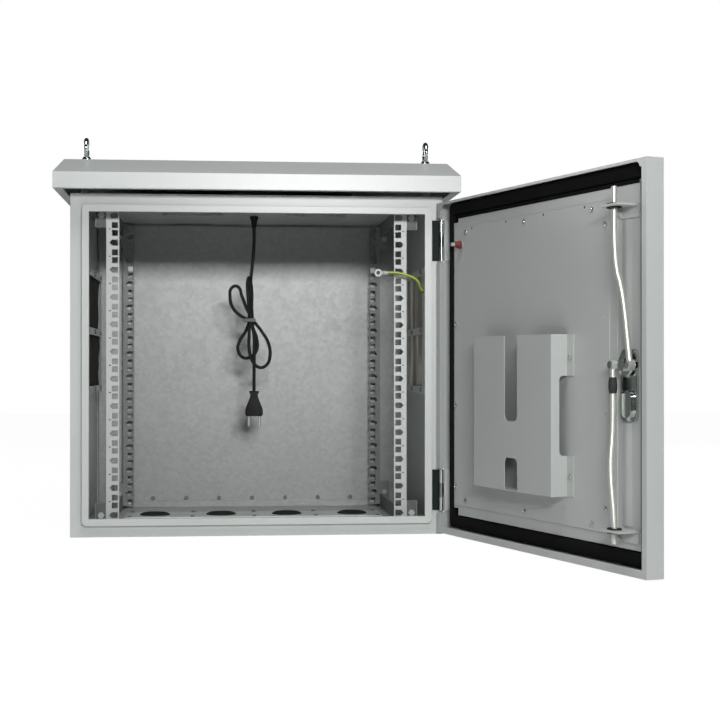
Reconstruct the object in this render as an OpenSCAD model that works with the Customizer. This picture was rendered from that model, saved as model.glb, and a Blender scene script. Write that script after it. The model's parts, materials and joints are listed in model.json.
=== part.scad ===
// Outdoor wall-mount rack cabinet, shown with its door open.
// Millimetres, +Z up, front towards -Y. The origin is the centre of the base.

/* [Cabinet body] */
// Width across the side walls
body_w = 600; // [580:10:800]
// Depth from the front flange to the back panel
body_d = 500; // [420:10:700]
// Height from the base to the top of the roof panel
body_h = 550; // [480:10:900]
// Sheet thickness of the welded body
sheet = 1.5; // [1:0.1:2.5]

/* [Front frame] */
// Width of the front flange at each side
flange_side = 30; // [26:1:36]
// Height of the front flange at the top and at the bottom
flange_end = 29.5; // [26:0.5:36]
// How far the rain lip stands forward of the flange
lip_h = 9; // [6:0.5:10]
// Width of the rain lip
lip_w = 11; // [8:0.5:14]
// Outer corner radius of the rain lip
lip_r = 8; // [5:0.5:12]

/* [Rain hood] */
// How far the hood reaches past the front flange
hood_front = 55; // [40:1:80]
// How far the hood reaches past each side wall
hood_side = 22; // [15:1:40]
// How far the hood reaches past the back panel
hood_back = 2; // [0:0.5:3]
// Gap between the roof panel and the hood's lower edge
hood_gap = 2; // [1:0.5:6]
// Height of the hood's upright edge
hood_edge_h = 25.5; // [18:0.5:40]
// Rise from the upright edge to the ridge
hood_rise = 32.5; // [24:0.5:50]
// Distance of the ridge behind the front flange
ridge_y = 42; // [30:1:80]
// How far the ridge is drawn in at each end
hood_taper = 8; // [4:1:14]
// Fall of the roof from the ridge to the back
hood_fall = 12; // [4:1:20]
// Width of the return flange under the hood
hood_return = 14; // [8:1:16]

/* [Lifting eyes] */
// Distance of each eye from the side wall's outer face
eye_inset = 21; // [19:1:26]
// Distance of the front eyes behind the ridge
eye_behind_ridge = 12; // [11:1:20]
// Distance of the rear eyes from the back panel
eye_rear = 40; // [30:1:60]
// Inner diameter of the ring
eye_bore = 20; // [16:1:24]
// Thickness of the ring's bar
eye_bar = 7; // [5:0.5:9]
// Shank diameter
eye_shank_d = 8; // [6:1:10]

/* [Rails] */
// Distance of the rails' hole rows from the body's sides; the default gives the 19-inch span of 465.1
rail_wall_gap = 67.45; // [60:0.05:75]
// Distance of the front rails behind the front flange
rail_setback = 45; // [40:1:80]
// Distance of the rear rails' faces in front of the back panel
rail_rear_gap = 38; // [34:1:80]
// Side of the square rail holes
rail_hole = 9.5; // [7:0.1:10]
// Thickness of the rails
rail_t = 2; // [1.5:0.1:2.5]
// Depth of the rails' side flange
rail_flange = 22; // [15:1:28]
// Gap between a rail's end and the sheet above or below it
rail_end_gap = 5; // [4:0.5:8]

/* [Back liner and floor] */
// Gap between the back panel and its liner
liner_gap = 10; // [6:1:16]
// Height of the liner's foot strip
liner_foot = 12; // [8:1:18]
// Outer diameter of the grommets
grommet_d = 55; // [40:1:70]
// Distance of the gland plate's ends from the body's sides
gland_side_gap = 67.5; // [60:0.5:90]
// Distance of the grommets behind the front flange
grommet_y = 328; // [200:1:360]
// How far the grommets stand above the gland plate
grommet_proud = 4; // [2:0.5:8]
// Depth of the gland plate
gland_plate_d = 96; // [86:1:120]

/* [Filters] */
// Depth of a filter frame off the side wall
filter_t = 17; // [12:1:22]
// Length of a filter frame along the wall
filter_l = 300; // [240:5:310]
// Height of a filter frame
filter_h = 214; // [180:2:260]
// Height of the filters' centre above the base
filter_z = 334; // [240:2:340]
// Distance of a filter frame behind the front flange
filter_y = 96; // [80:1:120]
// Width of the bars round the filter windows
filter_bar = 12; // [8:1:18]
// Louvres behind each filter
louvre_n = 8; // [4:1:10]
// How far a louvre stands out from the side wall
louvre_out = 8; // [5:0.5:12]

/* [Fans] */
// Side of the square fan frames
fan_w = 120; // [100:1:130]
// Depth of the fan frames
fan_t = 25; // [20:1:32]
// Distance between the two fans' centres
fan_pitch = 220; // [180:2:260]
// Blades on each impeller
blade_n = 7; // [5:1:9]

/* [Door] */
// Rest angle of the door, 0 is closed
door_open_angle = 108; // [0:1:118]
// Depth of the door
door_t = 26; // [22:1:32]
// Gap between the front flange and the door's rim
door_gap = 0.5; // [0.4:0.1:1]
// Gap between the door's edge and the body's outline at the sides
door_side_gap = 2.5; // [1:0.5:5]
// Gap at the door's lower edge
door_bottom_gap = 4; // [2:0.5:8]
// Gap at the door's upper edge
door_top_gap = 12; // [6:0.5:16]
// Width of the door's return rim
door_rim = 11; // [8:0.5:14]
// Width of the gasket
gasket_w = 19; // [14:0.5:22]
// Gap between the gasket and the rain lip
gasket_gap = 0.4; // [0.3:0.1:1]
// Height of the stiffening tray's face above the door's skin
tray_h = 9; // [5:0.5:12]

/* [Hinges] */
// Hinge axis inside the body's right face
hinge_in = 3; // [2.5:0.5:4]
// Hinge axis in front of the flange
hinge_out = 8.2; // [7.5:0.1:10]
// Diameter of the knuckles
knuckle_d = 8; // [7:0.2:9]
// Diameter of the pins
hinge_pin_d = 4; // [3:0.2:5]
// Radial play of the pins
hinge_play = 0.05; // [0.02:0.01:0.1]
// Height of a hinge
hinge_h = 66; // [50:1:80]
// Distance of each hinge's centre from the ends of the body
hinge_z = 72; // [60:1:120]

/* [Document pocket] */
// Width of the pocket
pocket_w = 229; // [180:1:250]
// Height of the pocket
pocket_h = 226; // [160:1:240]
// Depth of the pocket
pocket_d = 27; // [18:1:28]
// Height of the pocket's foot above the base
pocket_z = 92; // [80:1:110]
// Distance of the pocket's centre from the middle of the door, towards the hinges
pocket_x = 27; // [0:1:40]
// Width of the slots in its face
slot_w = 38; // [20:1:50]

/* [Rod lock] */
// Distance of the lock's axis from the edge of the front opening
lock_edge = 29; // [28:0.5:32]
// Radius of the cam pins
cam_r = 20; // [18:0.5:21]
// Rod diameter
rod_d = 8; // [7:0.5:9]
// Rod plane behind the flange's front
rod_y = 7.5; // [7:0.1:9]
// Gap between a retracted rod's tip and the edge of the opening
rod_tip_gap = 14; // [10:0.5:16]
// Side play of a rod in its slotted guide
rod_play = 4; // [3.8:0.1:5]
// Pin diameter of the cam
cam_pin_d = 7; // [6:0.5:8]
// Radial play of the rod eyes on the cam pins
pin_play = 0.05; // [0.02:0.01:0.1]
// Length of the outside handle
handle_l = 95; // [70:1:130]

/* [Hidden] */
$fn = 48;

// Planes of the body
front_y = -body_d / 2;
back_y = body_d / 2;
half_w = body_w / 2;
inner_x = half_w - sheet;
inner_top = body_h - sheet;
opening_w = body_w - 2 * flange_side;
opening_top = body_h - flange_end;
middle_z = body_h / 2;
cut = 1;
fit_gap = 0.3;

// Rails: standard rack unit, units that fit between roof and floor, rail ends and hole rows
rack_unit = 44.45;
rail_len = body_h - 2 * sheet - 2 * rail_end_gap;
rail_z0 = sheet + rail_end_gap;
unit_n = floor(rail_len / rack_unit);
unit_z0 = rail_z0 + (rail_len - unit_n * rack_unit) / 2;
unit_holes = [6.35, 22.225, 38.1];
rail_x = half_w - rail_wall_gap;
rail_inner = 7.1;
rail_outer = 14;
hole_point = 4;
ear_w = 16;
ear_h = 44;
ear_bolt_z = 24;
rail_front_y = front_y + rail_setback;
rail_rear_y = back_y - rail_rear_gap;
support_t = 2.5;
support_x = rail_x + rail_outer;
bolt_d = 6;
bolt_head_d = 11;
bolt_head_h = 4;

// Lifting eyes
eye_x = half_w - eye_inset;
eye_front_y = front_y + ridge_y + eye_behind_ridge;
eye_rear_y = back_y - eye_rear;
eye_nut_h = 6.5;
eye_collar_h = 6;

// Rain hood
hood_z0 = body_h + hood_gap;
hood_z1 = hood_z0 + hood_edge_h;
hood_ridge_z = hood_z1 + hood_rise;
hood_rear_z = hood_ridge_z - hood_fall;
hood_hw = half_w + hood_side;
hood_y0 = front_y - hood_front;
hood_y1 = back_y + hood_back;
hood_ridge_y = front_y + ridge_y;
function hood_top(y) = hood_ridge_z - hood_fall * (y - hood_ridge_y) / (hood_y1 - hood_ridge_y);

// Filters and louvres
filter_y0 = front_y + filter_y;
filter_mid_y = filter_y0 + filter_l / 2;
window_l = filter_l - 2 * filter_bar;
window_h = (filter_h - 3 * filter_bar) / 2;
window_dz = (window_h + filter_bar) / 2;
mat_t = filter_t - 5;
mat_lap = 3;
louvre_l = window_l - 30;
louvre_pitch = (filter_h - 2 * filter_bar) / louvre_n;
louvre_slot = 5;

// Floor, liner and wall brackets
liner_y = back_y - sheet - liner_gap;
grommet_row_y = front_y + grommet_y;
grommet_n = 4;
grommet_end = 25;
gland_plate_w = body_w - 2 * gland_side_gap;
grommet_pitch = (gland_plate_w - grommet_d - 2 * grommet_end) / (grommet_n - 1);
screw_d = 4;
screw_head_d = 8;
screw_head_h = 2.2;
bracket_t = 4;
bracket_w = 40;
bracket_reach = 24;
bracket_bore = 9;
bracket_z = 60;

// Fans on the roof, under the hood
fan_y = 0;
fan_bore = fan_w - 6;
fan_hub_d = 40;
fan_screw_span = fan_w - 15;
blade_gap = 1.5;
guard_t = 2.5;
fan_shaft_d = 5;

// Door, in the closed position
door_hw = half_w - door_side_gap;
door_z0 = door_bottom_gap;
door_z1 = body_h - door_top_gap;
rim_y = -door_gap;
skin_y = rim_y - door_t;
skin_in = skin_y + sheet;
hinge_x = half_w - hinge_in;
hinge_y = -hinge_out;
hinge_zs = [hinge_z, body_h - hinge_z];
leaf_t = 2;
knuckle_gap = 0.4;
knuckle_h = hinge_h / 3;
tray_y = skin_in + tray_h;
tray_hw = opening_w / 2 - (gasket_w - lip_w) / 2 - 2;
tray_z0 = flange_end + (gasket_w - lip_w) / 2 + 2;
tray_z1 = opening_top - (gasket_w - lip_w) / 2 - 2;
tray_notch = [15, 11];
plate_y = tray_y + sheet;
lock_x = opening_w / 2 - lock_edge;
plate_lock_gap = 48;
plate_x0 = plate_lock_gap - lock_x;
plate_x1 = tray_hw - 6;
plate_z0 = tray_z0 + 16;
plate_z1 = tray_z1 - 20;

// Lock, in the closed position of the door
lock_z = middle_z;
cam_y = -8;
cam_t = 3.5;
rod_end_y = cam_y + cam_t + fit_gap + rod_d / 2;
case_w = 36;
case_h = 93;
case_up = 20;
case_top_y = cam_y - 3;
guide_x = lock_x - 4.5;
guide_t = 3;
upper_tip_z = opening_top - rod_tip_gap;
lower_tip_z = flange_end + rod_tip_gap;
upper_guide_z = upper_tip_z - 25;
lower_guide_z = lower_tip_z + 17;
bush_d = 15;
rod_guide_x = -guide_x;
spindle_d = 10;

// A wall in the XZ plane, from y0 to y1
module along_y(y0, y1) {
    translate([0, y1, 0]) rotate([90, 0, 0]) linear_extrude(y1 - y0) children();
}

// A section in the YZ plane, from x0 to x1
module along_x(x0, x1) {
    translate([x0, 0, 0]) rotate([90, 0, 90]) linear_extrude(x1 - x0) children();
}

// A plan in the XY plane, from z0 to z1
module along_z(z0, z1) {
    translate([0, 0, z0]) linear_extrude(z1 - z0) children();
}

// A rectangle given by two corners
module rect(x0, y0, x1, y1) {
    translate([x0, y0]) square([x1 - x0, y1 - y0]);
}

// A rectangle given by two corners, with round corners
module round_rect(x0, y0, x1, y1, r) {
    rect(x0 + r, y0, x1 - r, y1);
    rect(x0, y0 + r, x1, y1 - r);
    for (x = [x0 + r, x1 - r], y = [y0 + r, y1 - r]) translate([x, y]) circle(r);
}

// A block given by two corners
module block(a, b) {
    translate(a) cube(b - a);
}

// A cylinder along +Y from y0 to y1
module rod_y(d, y0, y1) {
    translate([0, y0, 0]) rotate([-90, 0, 0]) cylinder(d = d, h = y1 - y0);
}

// Pan-head screw whose head sits on the plane z = 0 and points up
module screw_up(shank = 6) {
    cylinder(d1 = screw_head_d, d2 = screw_head_d * 0.6, h = screw_head_h);
    translate([0, 0, -shank]) cylinder(d = screw_d, h = shank);
}

// The same screw with its head towards -Y, +X or -X
module screw_front(shank = 6) {
    rotate([90, 0, 0]) screw_up(shank);
}

module screw_side(side, shank = 6) {
    rotate([0, side * 90, 0]) screw_up(shank);
}

// The door turned to its rest angle about the hinge axis
module swung() {
    translate([hinge_x, front_y + hinge_y, 0]) rotate([0, 0, door_open_angle])
        translate([-hinge_x, -hinge_y, 0]) children();
}

// The front flange's outline, and the opening in it
module opening(grow = 0) {
    rect(-opening_w / 2 - grow, flange_end - grow, opening_w / 2 + grow, opening_top + grow);
}

module lip_outline(inset = 0) {
    round_rect(-opening_w / 2 - lip_w + inset, flange_end - lip_w + inset,
        opening_w / 2 + lip_w - inset, opening_top + lip_w - inset, lip_r - inset);
}

module back_panel() {
    color("lightgray") along_y(back_y - sheet, back_y) rect(-half_w, 0, half_w, body_h);
}

// One side wall with the louvres behind its filter; side is 1 on the right, -1 on the left
module side_wall(side) {
    wall_x = side > 0 ? inner_x : -half_w;
    hood_pts = [[0, louvre_slot + 3], [louvre_out, 1], [louvre_out, 0],
        [louvre_out - sheet, 0], [0, louvre_slot]];
    difference() {
        along_x(wall_x, wall_x + sheet) rect(front_y + sheet, 0, back_y - sheet, body_h);
        for (i = [0:louvre_n - 1]) {
            z = filter_z - filter_h / 2 + filter_bar + (i + 0.5) * louvre_pitch;
            block([wall_x - cut, filter_mid_y - louvre_l / 2, z - louvre_slot / 2],
                [wall_x + sheet + cut, filter_mid_y + louvre_l / 2, z + louvre_slot / 2]);
        }
    }
    for (i = [0:louvre_n - 1]) {
        z = filter_z - filter_h / 2 + filter_bar + (i + 0.5) * louvre_pitch;
        translate([side * half_w, filter_mid_y + louvre_l / 2, z - louvre_slot / 2])
            mirror([side < 0 ? 1 : 0, 0, 0]) rotate([90, 0, 0]) linear_extrude(louvre_l) polygon(hood_pts);
    }
}

module left_side() {
    color("lightgray") side_wall(-1);
}

module right_side() {
    color("lightgray") side_wall(1);
}

// Roof panel with the fan holes, the holes of the lifting eyes and the lead's gland
module roof_panel() {
    color("lightgray") difference() {
        along_z(inner_top, body_h) rect(-inner_x, front_y + sheet, inner_x, back_y - sheet);
        for (s = [-1, 1]) translate([s * fan_pitch / 2, fan_y, inner_top - cut])
            cylinder(d = fan_bore, h = sheet + 2 * cut);
        for (s = [-1, 1], y = [eye_front_y, eye_rear_y]) translate([s * eye_x, y, inner_top - cut])
            cylinder(d = eye_shank_d, h = sheet + 2 * cut);
        translate([cord_xy[0], cord_xy[1], inner_top - cut])
            cylinder(d = gland_thread_d, h = sheet + 2 * cut);
    }
}

// Floor panel, open under the gland plate
module floor_panel() {
    land = 8;
    color("lightgray") difference() {
        along_z(0, sheet) rect(-inner_x, front_y + sheet, inner_x, back_y - sheet);
        along_z(-cut, sheet + cut) rect(-gland_plate_w / 2 + land, grommet_row_y - gland_plate_d / 2 + land,
            gland_plate_w / 2 - land, grommet_row_y + gland_plate_d / 2 - land);
        for (x = gland_screw_xs, s = [-1, 1]) translate([x, grommet_row_y + s * gland_screw_y, -cut])
            cylinder(d = screw_d, h = sheet + 2 * cut);
    }
}

// Front flange with the raised rain lip folded round the opening
module front_frame() {
    color("gainsboro") translate([0, front_y, 0]) {
        along_y(0, sheet) difference() {
            rect(-half_w, 0, half_w, body_h);
            opening();
        }
        along_y(-lip_h, -lip_h + sheet) difference() {
            lip_outline();
            opening();
        }
        along_y(-lip_h + sheet, 0) difference() {
            lip_outline();
            lip_outline(sheet);
        }
        along_y(-lip_h + sheet, 0) difference() {
            opening(sheet);
            opening();
        }
    }
}

// Galvanised liner in front of the back panel: flanged tray with a foot strip
liner_x = inner_x - 4;
liner_z1 = inner_top - 4;
liner_screw_n = 9;
liner_screw_edge = 40;
liner_screw_z = sheet + liner_foot + 5;
liner_screw_pitch = 2 * (liner_x - liner_screw_edge) / (liner_screw_n - 1);
function liner_screw_x(i) = -liner_x + liner_screw_edge + i * liner_screw_pitch;
module back_liner() {
    color("silver") difference() {
        union() {
            along_y(liner_y, liner_y + sheet) rect(-liner_x, sheet, liner_x, liner_z1);
            along_y(liner_y, back_y - sheet) difference() {
                rect(-liner_x, sheet, liner_x, liner_z1);
                rect(-liner_x + sheet, 2 * sheet, liner_x - sheet, liner_z1 - sheet);
            }
            along_y(liner_y - sheet, liner_y) rect(-liner_x, sheet, liner_x, sheet + liner_foot);
        }
        for (i = [0:liner_screw_n - 1]) translate([liner_screw_x(i), 0, liner_screw_z])
            rod_y(screw_d, liner_y - cut, liner_y + sheet + cut);
    }
}

gland_screw_xs = [for (i = [0:4]) (i - 2) * (gland_plate_w - 20) / 4];
gland_screw_y = gland_plate_d / 2 - 4;
module gland_plate() {
    color("silver") difference() {
        along_z(sheet, 2 * sheet) round_rect(-gland_plate_w / 2, grommet_row_y - gland_plate_d / 2,
            gland_plate_w / 2, grommet_row_y + gland_plate_d / 2, 4);
        for (i = [0:grommet_n - 1]) translate([grommet_x(i), grommet_row_y, 0])
            cylinder(d = grommet_d - 8, h = 4 * sheet);
        for (x = gland_screw_xs, s = [-1, 1]) translate([x, grommet_row_y + s * gland_screw_y, 0])
            cylinder(d = screw_d, h = 4 * sheet);
    }
}
function grommet_x(i) = (i - (grommet_n - 1) / 2) * grommet_pitch;

// Rubber grommets with a closed membrane, seated in the gland plate
module cable_grommets() {
    skirt = sheet - 0.3;
    r = grommet_d / 2;
    crown = 2 * sheet + grommet_proud;
    color("black") for (i = [0:grommet_n - 1]) translate([grommet_x(i), grommet_row_y, 0])
        rotate_extrude() polygon([[0, sheet], [r - 12, sheet], [r - 9, crown - 1], [r - 6, crown],
            [r - 1, 2 * sheet + 1.5], [r, 2 * sheet], [r - 4, 2 * sheet], [r - 4, sheet], [r, sheet],
            [r - 1, sheet - skirt], [0, sheet - skirt]]);
}

// Screws of the liner, the gland plate and the filter frames
module panel_screws() {
    color("silver") {
        for (i = [0:liner_screw_n - 1]) translate([liner_screw_x(i), liner_y, liner_screw_z])
            screw_front(sheet + 3);
        for (x = gland_screw_xs, s = [-1, 1]) translate([x, grommet_row_y + s * gland_screw_y, 2 * sheet])
            screw_up(2 * sheet);
        for (s = [-1, 1], y = filter_screw_ys, k = [-1, 0, 1])
            translate([s * (inner_x - filter_t), y, filter_z + k * 2 * window_dz]) screw_side(-s, filter_t);
    }
}
filter_screw_ys = [for (i = [0:2]) filter_y0 + filter_l * (0.1 + 0.4 * i)];

// Outer or inner body of the hood: a roof section cut by an end section
module hood_form(inset, foot) {
    along = [[hood_y0 + inset, foot], [hood_y0 + inset, hood_z1 - inset / 3],
        [hood_ridge_y, hood_ridge_z - inset],
        [hood_y1 - inset, hood_rear_z - inset], [hood_y1 - inset, foot]];
    side_x = hood_hw - inset;
    across = [[-side_x, foot], [-side_x, hood_z1], [-side_x + hood_taper, hood_ridge_z],
        [side_x - hood_taper, hood_ridge_z], [side_x, hood_z1], [side_x, foot]];
    intersection() {
        along_x(-hood_hw, hood_hw) polygon(along);
        along_y(hood_y0, hood_y1) polygon(across);
    }
}

// Folded rain hood, open below inside its return flange
module rain_hood() {
    color("whitesmoke") difference() {
        hood_form(0, hood_z0);
        hood_form(sheet, hood_z0 + sheet);
        along_z(hood_z0 - cut, hood_z0 + 2 * sheet) rect(-hood_hw + hood_return, hood_y0 + hood_return,
            hood_hw - hood_return, hood_y1 - hood_return);
        for (s = [-1, 1], y = [eye_front_y, eye_rear_y]) translate([s * eye_x, y, body_h])
            cylinder(d = eye_shank_d, h = hood_ridge_z - body_h + cut);
    }
}

// Spacer tubes between the roof panel and the hood, on the shanks of the lifting eyes
module hood_spacers() {
    color("silver") for (s = [-1, 1], y = [eye_front_y, eye_rear_y]) translate([s * eye_x, y, body_h])
        difference() {
            cylinder(d = eye_shank_d + 8, h = hood_top(y + eye_shank_d / 2 + 4) - sheet - body_h);
            translate([0, 0, -cut]) cylinder(d = eye_shank_d, h = hood_ridge_z);
        }
}

// One forged lifting eye, its ring standing in the YZ plane
module eyebolt(side, y) {
    seat = hood_top(y - eye_shank_d / 2 - 4);
    ring_r = (eye_bore + eye_bar) / 2;
    shank = seat - inner_top + support_t + eye_nut_h + 3;
    color("silver") translate([side * eye_x, y, seat]) {
        cylinder(d1 = eye_shank_d + 9, d2 = eye_shank_d + 2, h = eye_collar_h);
        translate([0, 0, -shank]) cylinder(d = eye_shank_d, h = shank + 1);
        translate([0, 0, eye_collar_h + ring_r]) rotate([0, 90, 0]) rotate_extrude()
            translate([ring_r, 0]) circle(d = eye_bar);
    }
}

module eyebolt_front_left() {
    eyebolt(-1, eye_front_y);
}

module eyebolt_front_right() {
    eyebolt(1, eye_front_y);
}

module eyebolt_rear_left() {
    eyebolt(-1, eye_rear_y);
}

module eyebolt_rear_right() {
    eyebolt(1, eye_rear_y);
}

module eyebolt_nuts() {
    color("silver") for (s = [-1, 1], y = [eye_front_y, eye_rear_y])
        translate([s * eye_x, y, inner_top - support_t - eye_nut_h]) difference() {
            cylinder(d = eye_shank_d * 1.85, h = eye_nut_h, $fn = 6);
            translate([0, 0, -cut]) cylinder(d = eye_shank_d, h = eye_nut_h + 2 * cut);
        }
}

// Angle bars along the side walls, with an upright cleat behind each rail's ear
bar_h = rail_end_gap + 20;
support_y0 = front_y + sheet;
support_y1 = liner_y - sheet;
rail_ys = [rail_front_y, rail_rear_y];
module support_profile() {
    difference() {
        union() {
            block([0, support_y0, 0], [inner_x - support_x, support_y1, support_t]);
            block([0, support_y0, 0], [support_t, support_y1, bar_h]);
        }
        for (y = rail_ys)
            block([-cut, y - fit_gap, rail_end_gap - fit_gap], [support_t + cut, y + rail_t, bar_h + cut]);
    }
    for (y = rail_ys) block([0, y + rail_t, 0], [ear_w + 2, y + rail_t + support_t, ear_h + rail_end_gap]);
}

module support_bar(side, top) {
    bolt_z = top ? body_h - ear_bolt_z - rail_z0 : rail_z0 + ear_bolt_z;
    difference() {
        mirror([side < 0 ? 1 : 0, 0, 0]) translate([0, 0, top ? body_h : 0]) mirror([0, 0, top ? 1 : 0])
            translate([support_x, 0, sheet]) support_profile();
        if (top) for (y = [eye_front_y, eye_rear_y]) translate([side * eye_x, y, inner_top - support_t - cut])
            cylinder(d = eye_shank_d, h = support_t + 2 * cut);
        for (y = rail_ys) translate([side * (support_x + ear_w / 2), 0, bolt_z])
            rod_y(bolt_d, y + rail_t - cut, y + rail_t + support_t + cut);
    }
}

module rail_supports() {
    color("silver") for (side = [-1, 1], top = [false, true]) support_bar(side, top);
}

// Square hole of a rail; the middle one of each rack unit has a point on its outer side
module rail_hole_outline(pointed) {
    h = rail_hole / 2;
    square(rail_hole, center = true);
    if (pointed) polygon([[0, -h], [h, -h], [h + hole_point, 0], [h, h], [0, h]]);
}

// One 19-inch rail: perforated face, side flange and an ear at each end
module rail(side, y) {
    color("silver") mirror([side < 0 ? 1 : 0, 0, 0]) translate([0, y, rail_z0]) difference() {
        union() {
            block([rail_x - rail_inner, 0, 0], [support_x, rail_t, rail_len]);
            block([support_x - rail_t - fit_gap, 0, 0], [support_x - fit_gap, rail_flange, rail_len]);
            for (z = [0, rail_len - ear_h])
                block([support_x - rail_t, 0, z], [support_x + ear_w, rail_t, z + ear_h]);
        }
        for (u = [0:unit_n - 1], i = [0:2])
            translate([rail_x, 0, unit_z0 - rail_z0 + u * rack_unit + unit_holes[i]])
                along_y(-cut, rail_t + cut) rail_hole_outline(i == 1);
        for (z = [ear_bolt_z, rail_len - ear_bolt_z]) translate([support_x + ear_w / 2, 0, z])
            rod_y(bolt_d, -cut, rail_t + cut);
    }
}

module rail_front_left() {
    rail(-1, rail_front_y);
}

module rail_front_right() {
    rail(1, rail_front_y);
}

module rail_rear_left() {
    rail(-1, rail_rear_y);
}

module rail_rear_right() {
    rail(1, rail_rear_y);
}

// Bolts through the rails' ears and the cleats, with nuts behind
module rail_bolts() {
    nut_h = 5;
    bolt_zs = [rail_z0 + ear_bolt_z, rail_z0 + rail_len - ear_bolt_z];
    grip = rail_t + support_t;
    bolt_x = support_x + ear_w / 2;
    color("silver") for (s = [-1, 1], y = rail_ys, z = bolt_zs) translate([s * bolt_x, y, z]) {
        rod_y(bolt_d, -1, grip + nut_h + 2);
        rotate([90, 0, 0]) cylinder(d = bolt_head_d, h = bolt_head_h, $fn = 6);
        translate([0, grip, 0]) rotate([-90, 0, 0]) cylinder(d = bolt_head_d, h = nut_h, $fn = 6);
    }
}

// Cage nuts with screws in one hole of each rear rail
cage_unit = max(unit_n - 2, 0);
module cage_nuts() {
    nut_z = unit_z0 + cage_unit * rack_unit + unit_holes[0];
    half = rail_hole / 2;
    cage_half = half + 1.25;
    cage_t = 5;
    head_h = 3;
    color("silver") for (s = [-1, 1]) translate([s * rail_x, rail_rear_y, nut_z]) {
        block([-half, 0, -half], [half, rail_t, half]);
        block([-cage_half, rail_t, -cage_half], [cage_half, rail_t + cage_t, cage_half]);
        rod_y(screw_head_d, -head_h, 0);
    }
}

// Filter frame on a side wall: flanged box with two windows
module filter_frame(side) {
    color("gainsboro") mirror([side < 0 ? 1 : 0, 0, 0]) {
        face_x = inner_x - filter_t;
        z0 = filter_z - filter_h / 2;
        difference() {
            block([face_x, filter_y0, z0], [inner_x, filter_y0 + filter_l, z0 + filter_h]);
            block([face_x + sheet, filter_y0 + sheet, z0 + sheet],
                [inner_x + cut, filter_y0 + filter_l - sheet, z0 + filter_h - sheet]);
            for (s = [-1, 1])
                block([face_x - cut, filter_y0 + filter_bar, filter_z + s * window_dz - window_h / 2],
                    [inner_x, filter_y0 + filter_l - filter_bar, filter_z + s * window_dz + window_h / 2]);
            for (y = filter_screw_ys, k = [-1, 0, 1])
                translate([face_x - cut, y, filter_z + k * 2 * window_dz])
                    rotate([0, 90, 0]) cylinder(d = screw_d, h = sheet + 2 * cut);
        }
    }
}

module filter_frame_left() {
    filter_frame(-1);
}

module filter_frame_right() {
    filter_frame(1);
}

// Filter mats, one behind each window
module filter_mats() {
    color("tan") for (side = [-1, 1], s = [-1, 1]) mirror([side < 0 ? 1 : 0, 0, 0])
        translate([inner_x - filter_t + sheet, 0, filter_z + s * window_dz])
            block([0, filter_y0 + filter_bar - mat_lap, -window_h / 2 - mat_lap],
                [mat_t, filter_y0 + filter_l - filter_bar + mat_lap, window_h / 2 + mat_lap]);
}

// Fan frame: square housing with a round duct and a motor plate on four struts
fan_plate_t = 3;
fan_plate_z = fan_t - fan_plate_t - 0.5;
module fan_frame(side) {
    color("dimgray") translate([side * fan_pitch / 2, fan_y, body_h]) {
        difference() {
            along_z(0, fan_t) round_rect(-fan_w / 2, -fan_w / 2, fan_w / 2, fan_w / 2, 6);
            translate([0, 0, -cut]) cylinder(d = fan_bore, h = fan_t + 2 * cut);
            for (x = [-1, 1], y = [-1, 1]) translate([x * fan_screw_span / 2, y * fan_screw_span / 2, -cut])
                cylinder(d = screw_d, h = fan_t + 2 * cut);
        }
        along_z(fan_plate_z, fan_plate_z + fan_plate_t) difference() {
            union() {
                circle(d = fan_hub_d);
                for (a = [45, 135]) rotate(a) square([fan_bore + 6, 6], center = true);
            }
            circle(d = fan_shaft_d + 2 * hinge_play);
        }
    }
}

module fan_frame_left() {
    fan_frame(-1);
}

module fan_frame_right() {
    fan_frame(1);
}

// Fan impeller: hub with pitched blades on a short shaft that runs in the motor plate
blade_w = 20;
blade_t = 2;
blade_pitch = 42;
blade_r = sqrt(pow(fan_bore / 2 - blade_gap, 2) - pow(blade_w / 2, 2));
module fan_impeller(side) {
    hub_z0 = 2;
    hub_z1 = fan_plate_z - 1;
    root = fan_hub_d / 2 - 4;
    color("black") translate([side * fan_pitch / 2, fan_y, body_h]) {
        translate([0, 0, hub_z0]) cylinder(d = fan_hub_d, h = hub_z1 - hub_z0);
        translate([0, 0, hub_z1 - 1]) cylinder(d = fan_shaft_d, h = fan_t - hub_z1 + 1);
        for (i = [0:blade_n - 1]) rotate(i * 360 / blade_n) translate([root, 0, (hub_z0 + hub_z1) / 2])
            rotate([blade_pitch, 0, 0]) translate([0, -blade_w / 2, -blade_t / 2])
                cube([blade_r - root, blade_w, blade_t]);
    }
}

module fan_impeller_left() {
    fan_impeller(-1);
}

module fan_impeller_right() {
    fan_impeller(1);
}

// Wire finger guards under the roof panel
module fan_guards() {
    ring_n = 5;
    spoke_l = fan_screw_span * 1.5;
    color("silver") for (side = [-1, 1]) translate([side * fan_pitch / 2, fan_y, inner_top - guard_t]) {
        for (i = [1:ring_n]) difference() {
            cylinder(d = fan_bore * i / ring_n, h = guard_t);
            translate([0, 0, -cut]) cylinder(d = fan_bore * i / ring_n - 2 * guard_t, h = guard_t + 2 * cut);
        }
        for (a = [45, 135])
            rotate(a) translate([-spoke_l / 2, -guard_t / 2, 0]) cube([spoke_l, guard_t, guard_t]);
    }
}

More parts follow.
